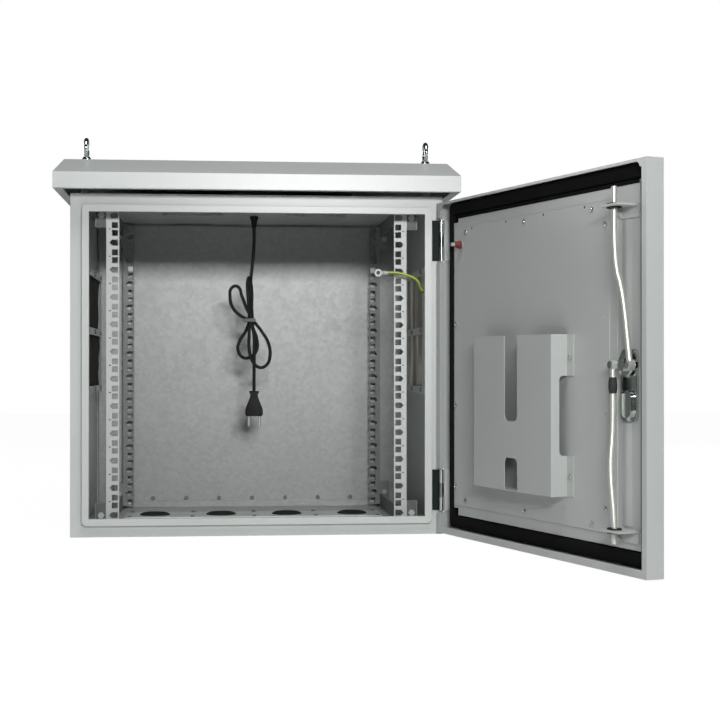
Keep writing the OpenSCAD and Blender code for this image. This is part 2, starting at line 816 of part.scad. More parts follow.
// A round tube of radius r swept along a list of points, with flat ends; up is never along the path
function tube_dir(p, i) = let (a = p[max(i - 1, 0)], b = p[min(i + 1, len(p) - 1)]) (b - a) / norm(b - a);
function tube_ring(p, i, r, up, n) =
    let (d = tube_dir(p, i), u = cross(d, up) / norm(cross(d, up)), v = cross(u, d))
    [for (k = [0:n - 1]) p[i] + r * (cos(360 * k / n) * u + sin(360 * k / n) * v)];
module tube(p, r, up, n = 8) {
    rings = len(p);
    pts = [for (i = [0:rings - 1]) each tube_ring(p, i, r, up, n)];
    sides = [for (i = [0:rings - 2], k = [0:n - 1])
        let (a = i * n + k, b = i * n + (k + 1) % n) each [[a, b, b + n], [a, b + n, a + n]]];
    foot = [for (k = [0:n - 1]) n - 1 - k];
    head = [for (k = [0:n - 1]) (rings - 1) * n + k];
    polyhedron(pts, concat(sides, [foot, head]));
}

// Power lead: gland in the roof, straight drop, hank held by a tie, tail and plug
cord_xy = [0, 80];
cord_d = 6;
gland_thread_d = 12;
gland_h = 22;
gland_foot_z = inner_top - gland_h;
hank_top_z = 438;
hank_foot_z = 266;
hank_y = [cord_xy[1] - 24, cord_xy[1] + 12];
plug_top_z = 228;
plug_foot_z = 182;
drop_points = [[0, 80, gland_foot_z], [0, 80, 505], [-1, 80, 485], [-4, 80, 465], [-8, 80, 452],
    [-10, 80, 445], [-10, 80, hank_top_z]];
tail_points = [[0, 80, hank_foot_z], [0, 80, 254], [0, 80, 241], [0, 80, plug_top_z]];

module cord_gland() {
    nut_h = 5;
    color("black") translate([cord_xy[0], cord_xy[1], 0]) {
        translate([0, 0, inner_top]) cylinder(d = gland_thread_d, h = sheet + nut_h);
        translate([0, 0, body_h]) cylinder(d = gland_thread_d + 5, h = nut_h, $fn = 6);
        translate([0, 0, inner_top - 6]) cylinder(d = gland_thread_d + 3, h = 6);
        translate([0, 0, gland_foot_z]) cylinder(d1 = cord_d + 2, d2 = gland_thread_d, h = gland_h - 6);
    }
}

module power_cord_drop() {
    color("black") tube(drop_points, cord_d / 2, [0, 1, 0]);
}

module power_cord_tail() {
    color("black") tube(tail_points, cord_d / 2, [0, 1, 0]);
}

// The hank's outer form: two bunches of loops on either side of the tie
hank_waist = [-18, 3];
hank_upper = [[-48, 363], [2, hank_top_z]];
hank_lower = [[-34, hank_foot_z], [33, 352]];
module cord_hank() {
    color("black") along_y(hank_y[0], hank_y[1]) {
        round_rect(hank_upper[0][0], hank_upper[0][1], hank_upper[1][0], hank_upper[1][1], 10);
        round_rect(hank_lower[0][0], hank_lower[0][1], hank_lower[1][0], hank_lower[1][1], 29);
        rect(hank_waist[0], hank_lower[1][1] - 10, hank_waist[1], hank_upper[0][1] + 10);
    }
}

module cord_tie() {
    tie_t = 1.6;
    tie_z = [354, 361];
    color("white") along_z(tie_z[0], tie_z[1]) difference() {
        rect(hank_waist[0] - tie_t, hank_y[0] - tie_t, hank_waist[1] + tie_t, hank_y[1] + tie_t);
        rect(hank_waist[0], hank_y[0], hank_waist[1], hank_y[1]);
    }
}

// Two-pin contour plug
module power_plug() {
    plug_t = 16;
    pin_d = 4.8;
    pin_l = 19;
    pin_pitch = 19;
    half = [[6, plug_top_z], [8, 221], [8.5, 214], [16.5, 203], [16.5, 190], [13, plug_foot_z]];
    outline = concat(half, [for (i = [len(half) - 1:-1:0]) [-half[i][0], half[i][1]]]);
    color("black") translate([cord_xy[0], 0, 0]) {
        along_y(cord_xy[1] - plug_t / 2, cord_xy[1] + plug_t / 2) polygon(outline);
        for (s = [-1, 1]) translate([s * pin_pitch / 2, cord_xy[1], plug_foot_z - pin_l])
            cylinder(d = pin_d, h = pin_l + 2);
    }
}

// Earth stud on the right wall with the wire's fixed terminal
earth_y = front_y + 25;
earth_z = 384;
stud_d = 6;
stud_l = 24;
terminal_x = inner_x - 19;
wire_d = 5;
terminal_z = earth_z + 4;
wire_start_z = terminal_z + 10;
module earth_stud() {
    color("silver") {
        translate([inner_x, earth_y, earth_z]) rotate([0, -90, 0]) {
            cylinder(d = 16, h = 3);
            cylinder(d = stud_d, h = stud_l);
            translate([0, 0, 12]) cylinder(d = 11, h = 5, $fn = 6);
            translate([0, 0, 17]) cylinder(d = 12.5, h = 2);
        }
        translate([terminal_x, earth_y, terminal_z])
            cylinder(d = wire_d + 1.5, h = wire_start_z - terminal_z);
    }
}

// Free green and yellow wire, from the wall's terminal to its loose ring lug
wire_start = [terminal_x, earth_y, wire_start_z];
wire_route = [[0, 0, 0], [0, 0, 6], [-3, -1, 13], [-9, -2, 18], [-20, -2, 22], [-34, -2, 25], [-48, -1, 28],
    [-58, 0, 29], [-66, 0, 29]];
wire_points = [for (p = wire_route) wire_start + p];
lug_tip = wire_points[len(wire_points) - 1];
module earth_wire() {
    color("yellowgreen") tube(wire_points, wire_d / 2, [0, 1, 0]);
}

module earth_lug() {
    lug_t = 1.6;
    ring_d = 13;
    barrel_l = 9;
    ring_x = -barrel_l - ring_d / 2 - 1;
    color("silver") translate(lug_tip) {
        rotate([0, -90, 0]) cylinder(d = wire_d + 1.5, h = barrel_l);
        along_y(-lug_t / 2, lug_t / 2) difference() {
            union() {
                translate([ring_x, 0]) circle(d = ring_d);
                translate([ring_x, -3]) square([ring_d / 2 + 3, 6]);
            }
            translate([ring_x, 0]) circle(d = stud_d + 0.4);
        }
    }
}

// Flat brackets that fasten the cabinet to a wall
bracket_x = half_w + bracket_reach / 2;
bracket_zs = [bracket_z, body_h - bracket_z];
function bracket_lap(s) = s > 0 ? 40 : bracket_reach;
module wall_brackets() {
    color("silver") for (s = [-1, 1], z = bracket_zs) difference() {
        along_y(back_y, back_y + bracket_t) translate([s * half_w, z])
            round_rect(-bracket_lap(s), -bracket_w / 2, bracket_lap(-s), bracket_w / 2, 6);
        translate([s * bracket_x, 0, z]) rod_y(bracket_bore, back_y - cut, back_y + bracket_t + cut);
    }
}

// Hinge leaves and pins
leaf_w = 12;
notch_y = hinge_y - knuckle_d / 2 - 1;
module hinge_body_leaves() {
    left = hinge_x - knuckle_d / 2;
    color("lightsteelblue") translate([0, front_y, 0]) for (z = hinge_zs) difference() {
        union() {
            block([left + leaf_t - leaf_w, -leaf_t, z - hinge_h / 2], [left + leaf_t, 0, z + hinge_h / 2]);
            for (s = [0, 2]) {
                z0 = z - hinge_h / 2 + s * knuckle_h + (s > 0 ? knuckle_gap : 0);
                z1 = z - hinge_h / 2 + (s + 1) * knuckle_h - (s > 0 ? 0 : knuckle_gap);
                block([left, hinge_y, z0], [left + leaf_t, 0, z1]);
                translate([hinge_x, hinge_y, z0]) cylinder(d = knuckle_d, h = z1 - z0);
            }
        }
        translate([hinge_x, hinge_y, z - hinge_h / 2 - cut]) cylinder(d = hinge_pin_d, h = hinge_h + 2 * cut);
    }
}

module hinge_pins() {
    head_h = 1.5;
    color("silver") translate([hinge_x, front_y + hinge_y, 0]) for (z = hinge_zs) {
        translate([0, 0, z - hinge_h / 2]) cylinder(d = hinge_pin_d, h = hinge_h);
        for (e = [z - hinge_h / 2 - head_h, z + hinge_h / 2])
            translate([0, 0, e]) cylinder(d = knuckle_d - 1, h = head_h);
    }
}

module hinge_door_leaves() {
    leaf_x = door_hw - sheet - leaf_t;
    color("lightsteelblue") swung() for (z = hinge_zs) difference() {
        union() {
            block([leaf_x, skin_in, z - hinge_h / 2], [leaf_x + leaf_t, notch_y, z + hinge_h / 2]);
            block([leaf_x, notch_y, z - knuckle_h / 2], [leaf_x + leaf_t, hinge_y, z + knuckle_h / 2]);
            translate([hinge_x, hinge_y, z - knuckle_h / 2]) cylinder(d = knuckle_d, h = knuckle_h);
        }
        translate([hinge_x, hinge_y, z - hinge_h / 2])
            cylinder(d = hinge_pin_d + 2 * hinge_play, h = hinge_h);
    }
}

// Door: folded pan with a return rim that clears the rain lip, notched at the hinges and bored for the lock
rim_lip_gap = 2.5;
module door_ring(inset) {
    rect(-door_hw + inset, door_z0 + inset, door_hw - inset, door_z1 - inset);
}

module door_shell() {
    notch_w = leaf_w + knuckle_d / 2 + 2;
    notch_h = hinge_h / 2 + 2.5;
    color("whitesmoke") swung() difference() {
        union() {
            along_y(skin_y, skin_in) door_ring(0);
            along_y(skin_in, rim_y) difference() {
                door_ring(0);
                door_ring(sheet);
            }
            along_y(rim_y - sheet, rim_y) difference() {
                door_ring(0);
                door_ring(door_rim);
                lip_outline(-rim_lip_gap);
            }
        }
        for (z = hinge_zs)
            block([door_hw - notch_w, notch_y, z - notch_h], [door_hw + cut, rim_y + cut, z + notch_h]);
        translate([-lock_x, 0, lock_z]) rod_y(spindle_d + 2 * pin_play, skin_y - cut, skin_in + cut);
    }
}

// Foam gasket that meets the rain lip
module door_gasket() {
    grow = (gasket_w - lip_w) / 2;
    color("black") swung() along_y(skin_in, -lip_h - gasket_gap) difference() {
        lip_outline(-grow);
        opening(-grow);
    }
}

// Stiffening tray on the door's skin, notched at the hinge-side corners and open round the lock
module tray_outline(inset) {
    difference() {
        rect(-tray_hw + inset, tray_z0 + inset, tray_hw - inset, tray_z1 - inset);
        rect(tray_hw - tray_notch[0] - inset, tray_z1 - tray_notch[1] - inset, tray_hw + cut, tray_z1 + cut);
        rect(tray_hw - tray_notch[0] - inset, tray_z0 - cut, tray_hw + cut, tray_z0 + tray_notch[1] + inset);
    }
}

module door_tray() {
    color("lightgray") swung() difference() {
        union() {
            along_y(tray_y, plate_y) tray_outline(0);
            along_y(skin_in, tray_y) difference() {
                tray_outline(0);
                tray_outline(sheet);
            }
        }
        along_y(tray_y - cut, plate_y + cut) case_outline(fit_gap);
    }
}

// Screwed inner plate of the door
plate_w = plate_x1 - plate_x0;
plate_screw_in = 9;
plate_row_x = [plate_x1 - 38, (plate_x0 + plate_x1) / 2, plate_x0 + 42];
plate_col_z = [plate_z0 + 30, middle_z - 65, middle_z + 65];
plate_spots = concat(
    [for (x = plate_row_x, z = [plate_z0 + plate_screw_in, plate_z1 - plate_screw_in]) [x, z]],
    [for (z = plate_col_z) [plate_x1 - plate_screw_in + 4, z]],
    [for (z = [plate_z0 + 32, plate_z1 - 32]) [plate_x0 + plate_screw_in, z]]);
module inner_plate() {
    hole_d = 4;
    color("silver") swung() difference() {
        along_y(plate_y, plate_y + sheet) rect(plate_x0, plate_z0, plate_x1, plate_z1);
        for (p = plate_spots) translate([p[0], 0, p[1]]) rod_y(screw_d, plate_y - cut, plate_y + sheet + cut);
        for (i = [0:3]) translate([plate_x1 - 58 - i * (plate_w - 120) / 3, 0, plate_z1 - 4])
            rod_y(hole_d, plate_y - cut, plate_y + sheet + cut);
        for (z = [middle_z - 65, middle_z + 65]) translate([plate_x0 + plate_screw_in, 0, z])
            rod_y(hole_d, plate_y - cut, plate_y + sheet + cut);
        translate([stud_x, 0, stud_z]) rod_y(stud_d, plate_y - cut, plate_y + sheet + cut);
    }
}

module screw_back(shank) {
    rotate([-90, 0, 0]) screw_up(shank);
}

module plate_screws() {
    color("silver") swung() {
        for (p = plate_spots) translate([p[0], plate_y + sheet, p[1]]) screw_back(sheet);
        for (x = pocket_screw_xs, z = pocket_screw_zs)
            translate([x, pocket_y0 + pocket_t, z]) screw_back(pocket_t);
    }
}

// Document pocket: folded box, open at the top, slotted in its face and cut out at one side
pocket_t = 1.2;
pocket_flange = 17;
pocket_y0 = plate_y + sheet;
pocket_screw_xs = [for (s = [-1, 1]) pocket_x + s * (pocket_w + pocket_flange) / 2];
pocket_screw_zs = [pocket_z + 29, pocket_z + pocket_h - 32];
module document_pocket() {
    x0 = pocket_x - pocket_w / 2;
    x1 = pocket_x + pocket_w / 2;
    y1 = pocket_y0 + pocket_d;
    z1 = pocket_z + pocket_h;
    slot_half = slot_w / 2;
    slot_r = slot_half / 2;
    cut_r = 6;
    slot_foot = pocket_z + pocket_h * 0.45;
    low_slot_h = 48;
    side_cut = [pocket_z + 57, pocket_z + 168];
    color("gainsboro") swung() difference() {
        union() {
            along_y(pocket_y0, pocket_y0 + pocket_t) {
                rect(x0 - pocket_flange, pocket_z, x0 + pocket_t, z1);
                rect(x1 - pocket_t, pocket_z, x1 + pocket_flange, z1);
            }
            along_y(y1 - pocket_t, y1) rect(x0, pocket_z, x1, z1);
            along_y(pocket_y0, y1) {
                rect(x0, pocket_z, x0 + pocket_t, z1);
                rect(x1 - pocket_t, pocket_z, x1, z1);
                rect(x0, pocket_z, x1, pocket_z + pocket_t);
            }
        }
        along_y(y1 - 2 * pocket_t, y1 + cut) {
            translate([pocket_x, 0]) {
                rect(-slot_half, slot_foot + slot_r, slot_half, z1 + cut);
                round_rect(-slot_half, slot_foot, slot_half, slot_foot + slot_w, slot_r);
                rect(-slot_half, pocket_z + pocket_t, slot_half, pocket_z + low_slot_h - slot_r);
                round_rect(-slot_half, pocket_z + 2 * pocket_t, slot_half, pocket_z + low_slot_h, slot_r);
            }
        }
        along_x(x0 - cut, x0 + pocket_t + cut)
            round_rect(pocket_y0 - 2 * cut_r, side_cut[0], pocket_y0 + pocket_d / 2, side_cut[1], cut_r);
        block([x0 - pocket_flange - cut, pocket_y0 - cut, side_cut[0]],
            [x0 + cut, pocket_y0 + pocket_t + cut, side_cut[1]]);
        for (x = pocket_screw_xs, z = pocket_screw_zs) translate([x, 0, z])
            rod_y(screw_d, pocket_y0 - cut, pocket_y0 + pocket_t + cut);
    }
}

// Slotted outline of a rod guide, in plan
module guide_slot(d) {
    for (s = [-1, 1]) translate([rod_guide_x + s * rod_play, rod_y]) circle(d = d);
    rect(rod_guide_x - rod_play, rod_y - d / 2, rod_guide_x + rod_play, rod_y + d / 2);
}

guide_zs = [lower_guide_z, upper_guide_z];
guide_hole_d = rod_d + 5;
guide_x0 = -tray_hw + 2;
guide_x1 = rod_guide_x + 15;
guide_foot = 16;
module rod_guides() {
    color("lightgray") swung() for (z = guide_zs) {
        along_z(z - guide_t / 2, z + guide_t / 2) difference() {
            rect(guide_x0, plate_y, guide_x1, rod_y + bush_d / 2 + 4);
            guide_slot(guide_hole_d);
        }
        block([guide_x0, plate_y, z - guide_foot], [guide_x1, plate_y + guide_t, z]);
        along_x(guide_x1 - guide_t, guide_x1) polygon([[plate_y, z - guide_foot], [rod_y, z], [plate_y, z]]);
    }
}

module rod_bushes() {
    flange_t = 2;
    color("black") swung() for (z = guide_zs) difference() {
        union() {
            along_z(z - guide_t / 2, z + guide_t / 2) guide_slot(guide_hole_d);
            along_z(z + guide_t / 2, z + guide_t / 2 + flange_t) guide_slot(bush_d);
            along_z(z - guide_t / 2 - flange_t, z - guide_t / 2) guide_slot(bush_d);
        }
        along_z(z - guide_t - flange_t, z + guide_t + flange_t) guide_slot(rod_d + 1);
    }
}

// Lock case let into the tray, with a stepped block at its foot
module case_outline(grow) {
    top = lock_z + case_up;
    round_rect(-lock_x - case_w / 2 - grow, top - case_h - grow, -lock_x + case_w / 2 + grow, top + grow, 8);
}

module lock_case() {
    step_w = 24;
    step_h = 4;
    color("lightsteelblue") swung() difference() {
        union() {
            along_y(skin_in, case_top_y) case_outline(0);
            along_y(case_top_y, case_top_y + step_h) translate([-lock_x, lock_z])
                round_rect(-step_w / 2, case_up - case_h + 5, step_w / 2, -33, 9);
        }
        translate([-lock_x, 0, lock_z]) rod_y(spindle_d + 2 * pin_play, skin_y, case_top_y + cut);
    }
}

// Earth stud of the door, with its red cap
stud_x = plate_x1 - 24;
stud_z = plate_z1 - 28;
stud_cap_l = 11;
stud_nut_h = 2.5;
module door_earth_stud() {
    color("silver") swung() translate([stud_x, 0, stud_z]) {
        rod_y(stud_d, plate_y, plate_y + 20);
        translate([0, plate_y + sheet, 0]) rotate([-90, 0, 0]) cylinder(d = 11, h = stud_nut_h, $fn = 6);
    }
}

module stud_cap() {
    color("firebrick") swung() translate([stud_x, plate_y + sheet + stud_nut_h, stud_z]) rotate([-90, 0, 0])
        difference() {
            cylinder(d1 = 13, d2 = 8, h = stud_cap_l);
            translate([0, 0, -cut]) cylinder(d = stud_d, h = stud_cap_l + 2 * cut);
        }
}

// Lock cam with its spindle, nut and the two rod pins
module lock_cam() {
    ear_d = 13;
    cam_d = 1.5 * cam_r;
    nut_h = 5;
    pin_top = rod_end_y + rod_d / 2 + fit_gap;
    color("dimgray") swung() translate([-lock_x, 0, lock_z]) {
        along_y(cam_y, cam_y + cam_t) {
            circle(d = cam_d);
            for (s = [-1, 1]) translate([s * cam_r, 0]) circle(d = ear_d);
            square([2 * cam_r, ear_d], center = true);
        }
        rod_y(spindle_d, skin_y - 3, cam_y + cam_t);
        rod_y(2 * spindle_d, case_top_y + fit_gap, cam_y);
        translate([0, cam_y + cam_t, 0]) rotate([-90, 0, 0])
            cylinder(d = 1.8 * spindle_d, h = nut_h, $fn = 6);
        for (s = [-1, 1]) translate([s * cam_r, 0, 0]) {
            rod_y(cam_pin_d, cam_y, pin_top);
            rod_y(cam_pin_d + 3, pin_top, pin_top + 1.2);
        }
    }
}

// Outside handle: rosette, neck and a round lever that points to the hinges when unlocked
module lock_handle() {
    lever_d = 14;
    lever_out = 34;
    rosette_d = 30;
    rosette_t = 5;
    neck_y = skin_y - lever_out + lever_d / 2;
    color("gainsboro") swung() translate([-lock_x, 0, lock_z]) difference() {
        union() {
            rod_y(rosette_d, skin_y - rosette_t, skin_y - fit_gap);
            rod_y(lever_d, neck_y, skin_y - rosette_t + cut);
            translate([0, neck_y, 0]) {
                sphere(d = lever_d);
                rotate([0, 90, 0]) cylinder(d = lever_d, h = handle_l);
                translate([handle_l, 0, 0]) sphere(d = lever_d);
            }
        }
        rod_y(spindle_d, skin_y - 3, skin_y + cut);
    }
}

// A path with its corners cut twice, so that a rod's cranks are round
function cut_corners(p) = [p[0], for (i = [0:len(p) - 2])
    each [0.75 * p[i] + 0.25 * p[i + 1], 0.25 * p[i] + 0.75 * p[i + 1]], p[len(p) - 1]];

// A cranked rod along a list of points, with an eye on the cam pin at its first point
module lock_rod(points) {
    eye_d = 13;
    eye = [points[0][0], rod_end_y, points[0][2]];
    difference() {
        union() {
            tube(cut_corners(cut_corners(points)), rod_d / 2, [0, 1, 0], 16);
            translate(eye) rod_y(eye_d, -rod_d / 2, rod_d / 2);
        }
        translate(eye) rod_y(cam_pin_d + 2 * pin_play, -rod_d, rod_d);
    }
}

upper_points = [[-lock_x - cam_r, rod_end_y, lock_z], [-lock_x - 3, rod_end_y, lock_z + 96],
    [rod_guide_x, rod_y, lock_z + 132], [rod_guide_x, rod_y, upper_tip_z]];
lower_points = [[-lock_x + cam_r, rod_end_y, lock_z], [-lock_x + cam_r, rod_end_y, lock_z - 90],
    [-lock_x + 16, rod_y, lock_z - 130], [rod_guide_x, rod_y, lower_guide_z + 12],
    [rod_guide_x, rod_y, lower_tip_z]];
module upper_rod() {
    color("silver") swung() lock_rod(upper_points);
}

module lower_rod() {
    color("silver") swung() lock_rod(lower_points);
}

back_panel();
left_side();
right_side();
roof_panel();
floor_panel();
front_frame();
back_liner();
panel_screws();
gland_plate();
cable_grommets();
rain_hood();
hood_spacers();
eyebolt_front_left();
eyebolt_front_right();
eyebolt_rear_left();
eyebolt_rear_right();
eyebolt_nuts();
rail_supports();
rail_front_left();
rail_front_right();
rail_rear_left();
rail_rear_right();
rail_bolts();
cage_nuts();
filter_frame_left();
filter_frame_right();
filter_mats();
fan_frame_left();
fan_frame_right();
fan_impeller_left();
fan_impeller_right();
fan_guards();
cord_gland();
power_cord_drop();
cord_hank();
power_cord_tail();
cord_tie();
power_plug();
earth_stud();
earth_wire();
earth_lug();
wall_brackets();
hinge_body_leaves();
hinge_pins();
door_shell();
door_gasket();
hinge_door_leaves();
door_tray();
inner_plate();
plate_screws();
document_pocket();
rod_guides();
rod_bushes();
lock_case();
door_earth_stud();
stud_cap();
lock_cam();
lock_handle();
upper_rod();
lower_rod();
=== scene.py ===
import json
import math

import bmesh
import bpy
from bpy.props import FloatProperty, FloatVectorProperty, PointerProperty
from mathutils import Matrix, Vector, noise


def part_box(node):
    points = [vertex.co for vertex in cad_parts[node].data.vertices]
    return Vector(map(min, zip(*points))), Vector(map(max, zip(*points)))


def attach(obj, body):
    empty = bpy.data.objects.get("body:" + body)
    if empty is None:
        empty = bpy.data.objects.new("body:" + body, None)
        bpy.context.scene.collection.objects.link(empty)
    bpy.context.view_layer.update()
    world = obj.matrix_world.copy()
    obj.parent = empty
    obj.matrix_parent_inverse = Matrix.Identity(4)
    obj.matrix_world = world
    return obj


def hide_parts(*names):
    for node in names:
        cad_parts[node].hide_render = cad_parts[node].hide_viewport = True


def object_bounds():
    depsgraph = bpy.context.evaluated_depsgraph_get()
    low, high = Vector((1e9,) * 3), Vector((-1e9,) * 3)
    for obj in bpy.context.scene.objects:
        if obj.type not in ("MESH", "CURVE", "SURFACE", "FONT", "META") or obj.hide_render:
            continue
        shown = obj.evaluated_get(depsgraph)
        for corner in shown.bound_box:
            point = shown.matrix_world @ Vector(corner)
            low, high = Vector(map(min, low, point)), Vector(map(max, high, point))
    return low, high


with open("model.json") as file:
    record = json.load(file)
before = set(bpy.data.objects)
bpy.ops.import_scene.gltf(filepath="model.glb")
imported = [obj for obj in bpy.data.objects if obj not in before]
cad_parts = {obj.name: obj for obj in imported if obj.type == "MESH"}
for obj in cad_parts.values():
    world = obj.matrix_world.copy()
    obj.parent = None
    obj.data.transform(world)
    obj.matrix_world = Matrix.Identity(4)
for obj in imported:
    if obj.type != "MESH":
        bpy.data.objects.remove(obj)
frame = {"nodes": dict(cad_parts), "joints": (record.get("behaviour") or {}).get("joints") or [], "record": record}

bl_info = {
    "name": "Wall-mount rack cabinet",
    "version": (1, 0, 0),
    "blender": (4, 5, 0),
    "location": "View3D > Sidebar > Cabinet",
    "description": "Finishes, leads and soft pieces of an outdoor rack cabinet with its door open",
    "category": "Object",
}

MM = 0.001

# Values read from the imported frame
CAD_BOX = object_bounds()
NODES = frame["nodes"]
SLOTS = {row["node"]: row["material_slot"] for row in frame["record"]["subparts"]}
JOINTS = {joint["name"]: joint for joint in frame["joints"]}

# The door is modelled closed and then turned to its rest angle about the hinge axis
HINGE = Vector(JOINTS["door_swing"]["pos_m"])
REST_ANGLE = -math.radians(JOINTS["door_swing"]["range_deg"][0])
TO_HINGE = Matrix.Translation((HINGE.x, HINGE.y, 0))
DOOR = TO_HINGE @ Matrix.Rotation(REST_ANGLE, 4, "Z") @ TO_HINGE.inverted()
DOOR_INWARD = DOOR.to_3x3() @ Vector((0, 1, 0))

# Rails: rack unit, hole row and outer side from a rail's inner edge, and the tick beside every unit
RACK_UNIT = 44.45 * MM
RAIL_HOLE_IN = 7.1 * MM
RAIL_WIDTH = 21.1 * MM
TICK_FROM_HOLE, TICK_FROM_SIDE = 6.2 * MM, 4 * MM
TICK_HALF = 0.7 * MM
SOFT_EDGE = 0.2 * MM

# Radius of the knuckle where a hinge leaf is rolled round its pin
KNUCKLE = 4.2 * MM
KNUCKLE_EDGE = 0.4 * MM


# Sizes and colours that a user may change
def size_property(title, text, default, low, high):
    return FloatProperty(name=title, description=text, default=default, min=low, max=high, unit="LENGTH")


def colour_property(title, text, default):
    return FloatVectorProperty(name=title, description=text, default=default, size=3, min=0, max=1,
                               subtype="COLOR")


class LeadSizes(bpy.types.PropertyGroup):
    """Sizes of the power lead and the earth wire."""
    lead_diameter: size_property("Lead diameter", "Outer diameter of the power lead", 0.006, 0.004, 0.009)
    lead_length: size_property("Lead length", "Length of the power lead from gland to plug", 0.99, 0.8, 1.6)
    wire_diameter: size_property("Wire diameter", "Outer diameter of the earth wire", 0.005, 0.003, 0.006)
    wire_length: size_property("Wire length", "Length of the free earth wire", 0.08, 0.05, 0.2)


class CabinetColours(bpy.types.PropertyGroup):
    """Colours of the finishes."""
    paint: colour_property("Paint", "Powder coat of the body, hood and door", (0.55, 0.575, 0.56))
    galvanised: colour_property("Galvanised", "Zinc-dipped sheet", (0.50, 0.52, 0.51))
    zinc: colour_property("Zinc", "Zinc-plated rails and screws", (0.48, 0.50, 0.49))
    chrome: colour_property("Chrome", "Polished plating of the hinges and the lock", (0.60, 0.64, 0.62))
    # painted reflection: this dark colour stands in for dark surroundings mirrored in the plated leaf
    leaf: colour_property("Hinge leaf", "Dark plated leaf of the hinges", (0.016, 0.024, 0.020))
    rod: colour_property("Rod", "Bright drawn steel", (0.66, 0.68, 0.63))
    rubber: colour_property("Rubber", "Gasket, bushes and grommets", (0.010, 0.011, 0.010))
    plastic: colour_property("Plastic", "Moulded black plastic", (0.006, 0.0065, 0.006))
    fleece: colour_property("Fleece", "Clean filter fleece", (0.84, 0.82, 0.74))
    # also the painted shade of the mats on the left wall
    soil: colour_property("Soil", "Soiled filter fleece", (0.040, 0.038, 0.030))
    wire_green: colour_property("Wire green", "Ground colour of the earth wire", (0.10, 0.22, 0.02))
    wire_yellow: colour_property("Wire yellow", "Stripe of the earth wire", (0.62, 0.58, 0.06))
    cap: colour_property("Cap", "Red cap of the door's earth stud", (0.11, 0.020, 0.015))
    tie: colour_property("Tie", "Grey cable tie", (0.16, 0.165, 0.155))
    handle: colour_property("Handle", "Outside handle of the lock", (0.48, 0.50, 0.49))


class StageSettings(bpy.types.PropertyGroup):
    """Camera, lamps and ground."""
    lens: FloatProperty(name="Lens", description="Focal length on a 36 mm sensor", default=74.44,
                        unit="CAMERA")
    pan: FloatProperty(name="Pan", description="Turn of the camera to the right", default=math.radians(5.31),
                       subtype="ANGLE")
    tilt: FloatProperty(name="Tilt", description="Upward tilt of the camera", default=math.radians(0.23),
                        subtype="ANGLE")
    eye: FloatVectorProperty(name="Eye", description="Place of the camera",
                             default=(-0.0592, -2.6587, 0.2738), size=3, subtype="TRANSLATION")
    key: FloatProperty(name="Key lamp", description="Power of the front lamp", default=29, unit="POWER")
    side: FloatProperty(name="Side lamp", description="Power of the lamp at the right", default=0.5,
                        unit="POWER")
    over: FloatProperty(name="Top lamp", description="Power of the lamp above", default=20, unit="POWER")
    fill: FloatProperty(name="Rear lamps", description="Power of each of the two lamps behind", default=20,
                        unit="POWER")
    ambient: FloatProperty(name="Ambient", description="Strength of the surrounding light", default=0.01,
                           min=0)
    mirrored: FloatProperty(name="Mirrored", description="Brightness of the surroundings in mirrors",
                            default=0.03)


# Shader maths
class Wire:
    """A shader value; Python's operators add Math nodes to its material."""

    def __init__(self, finish, socket):
        self.finish = finish
        self.socket = socket

    def maths(self, operation, first, second):
        return self.finish.node("ShaderNodeMath", {"operation": operation}, {0: first, 1: second})

    def __add__(self, other):
        return self.maths("ADD", self, other)

    def __sub__(self, other):
        return self.maths("SUBTRACT", self, other)

    def __rsub__(self, other):
        return self.maths("SUBTRACT", other, self)

    def __mul__(self, other):
        return self.maths("MULTIPLY", self, other)

    def __pow__(self, other):
        return self.maths("POWER", self, other)

    __radd__ = __add__
    __rmul__ = __mul__

    def between(self, low, high):
        """0 below low, 1 above high, smooth between them."""
        return self.finish.node("ShaderNodeMapRange", {"interpolation_type": "SMOOTHSTEP"},
                                {"Value": self, "From Min": low, "From Max": high})


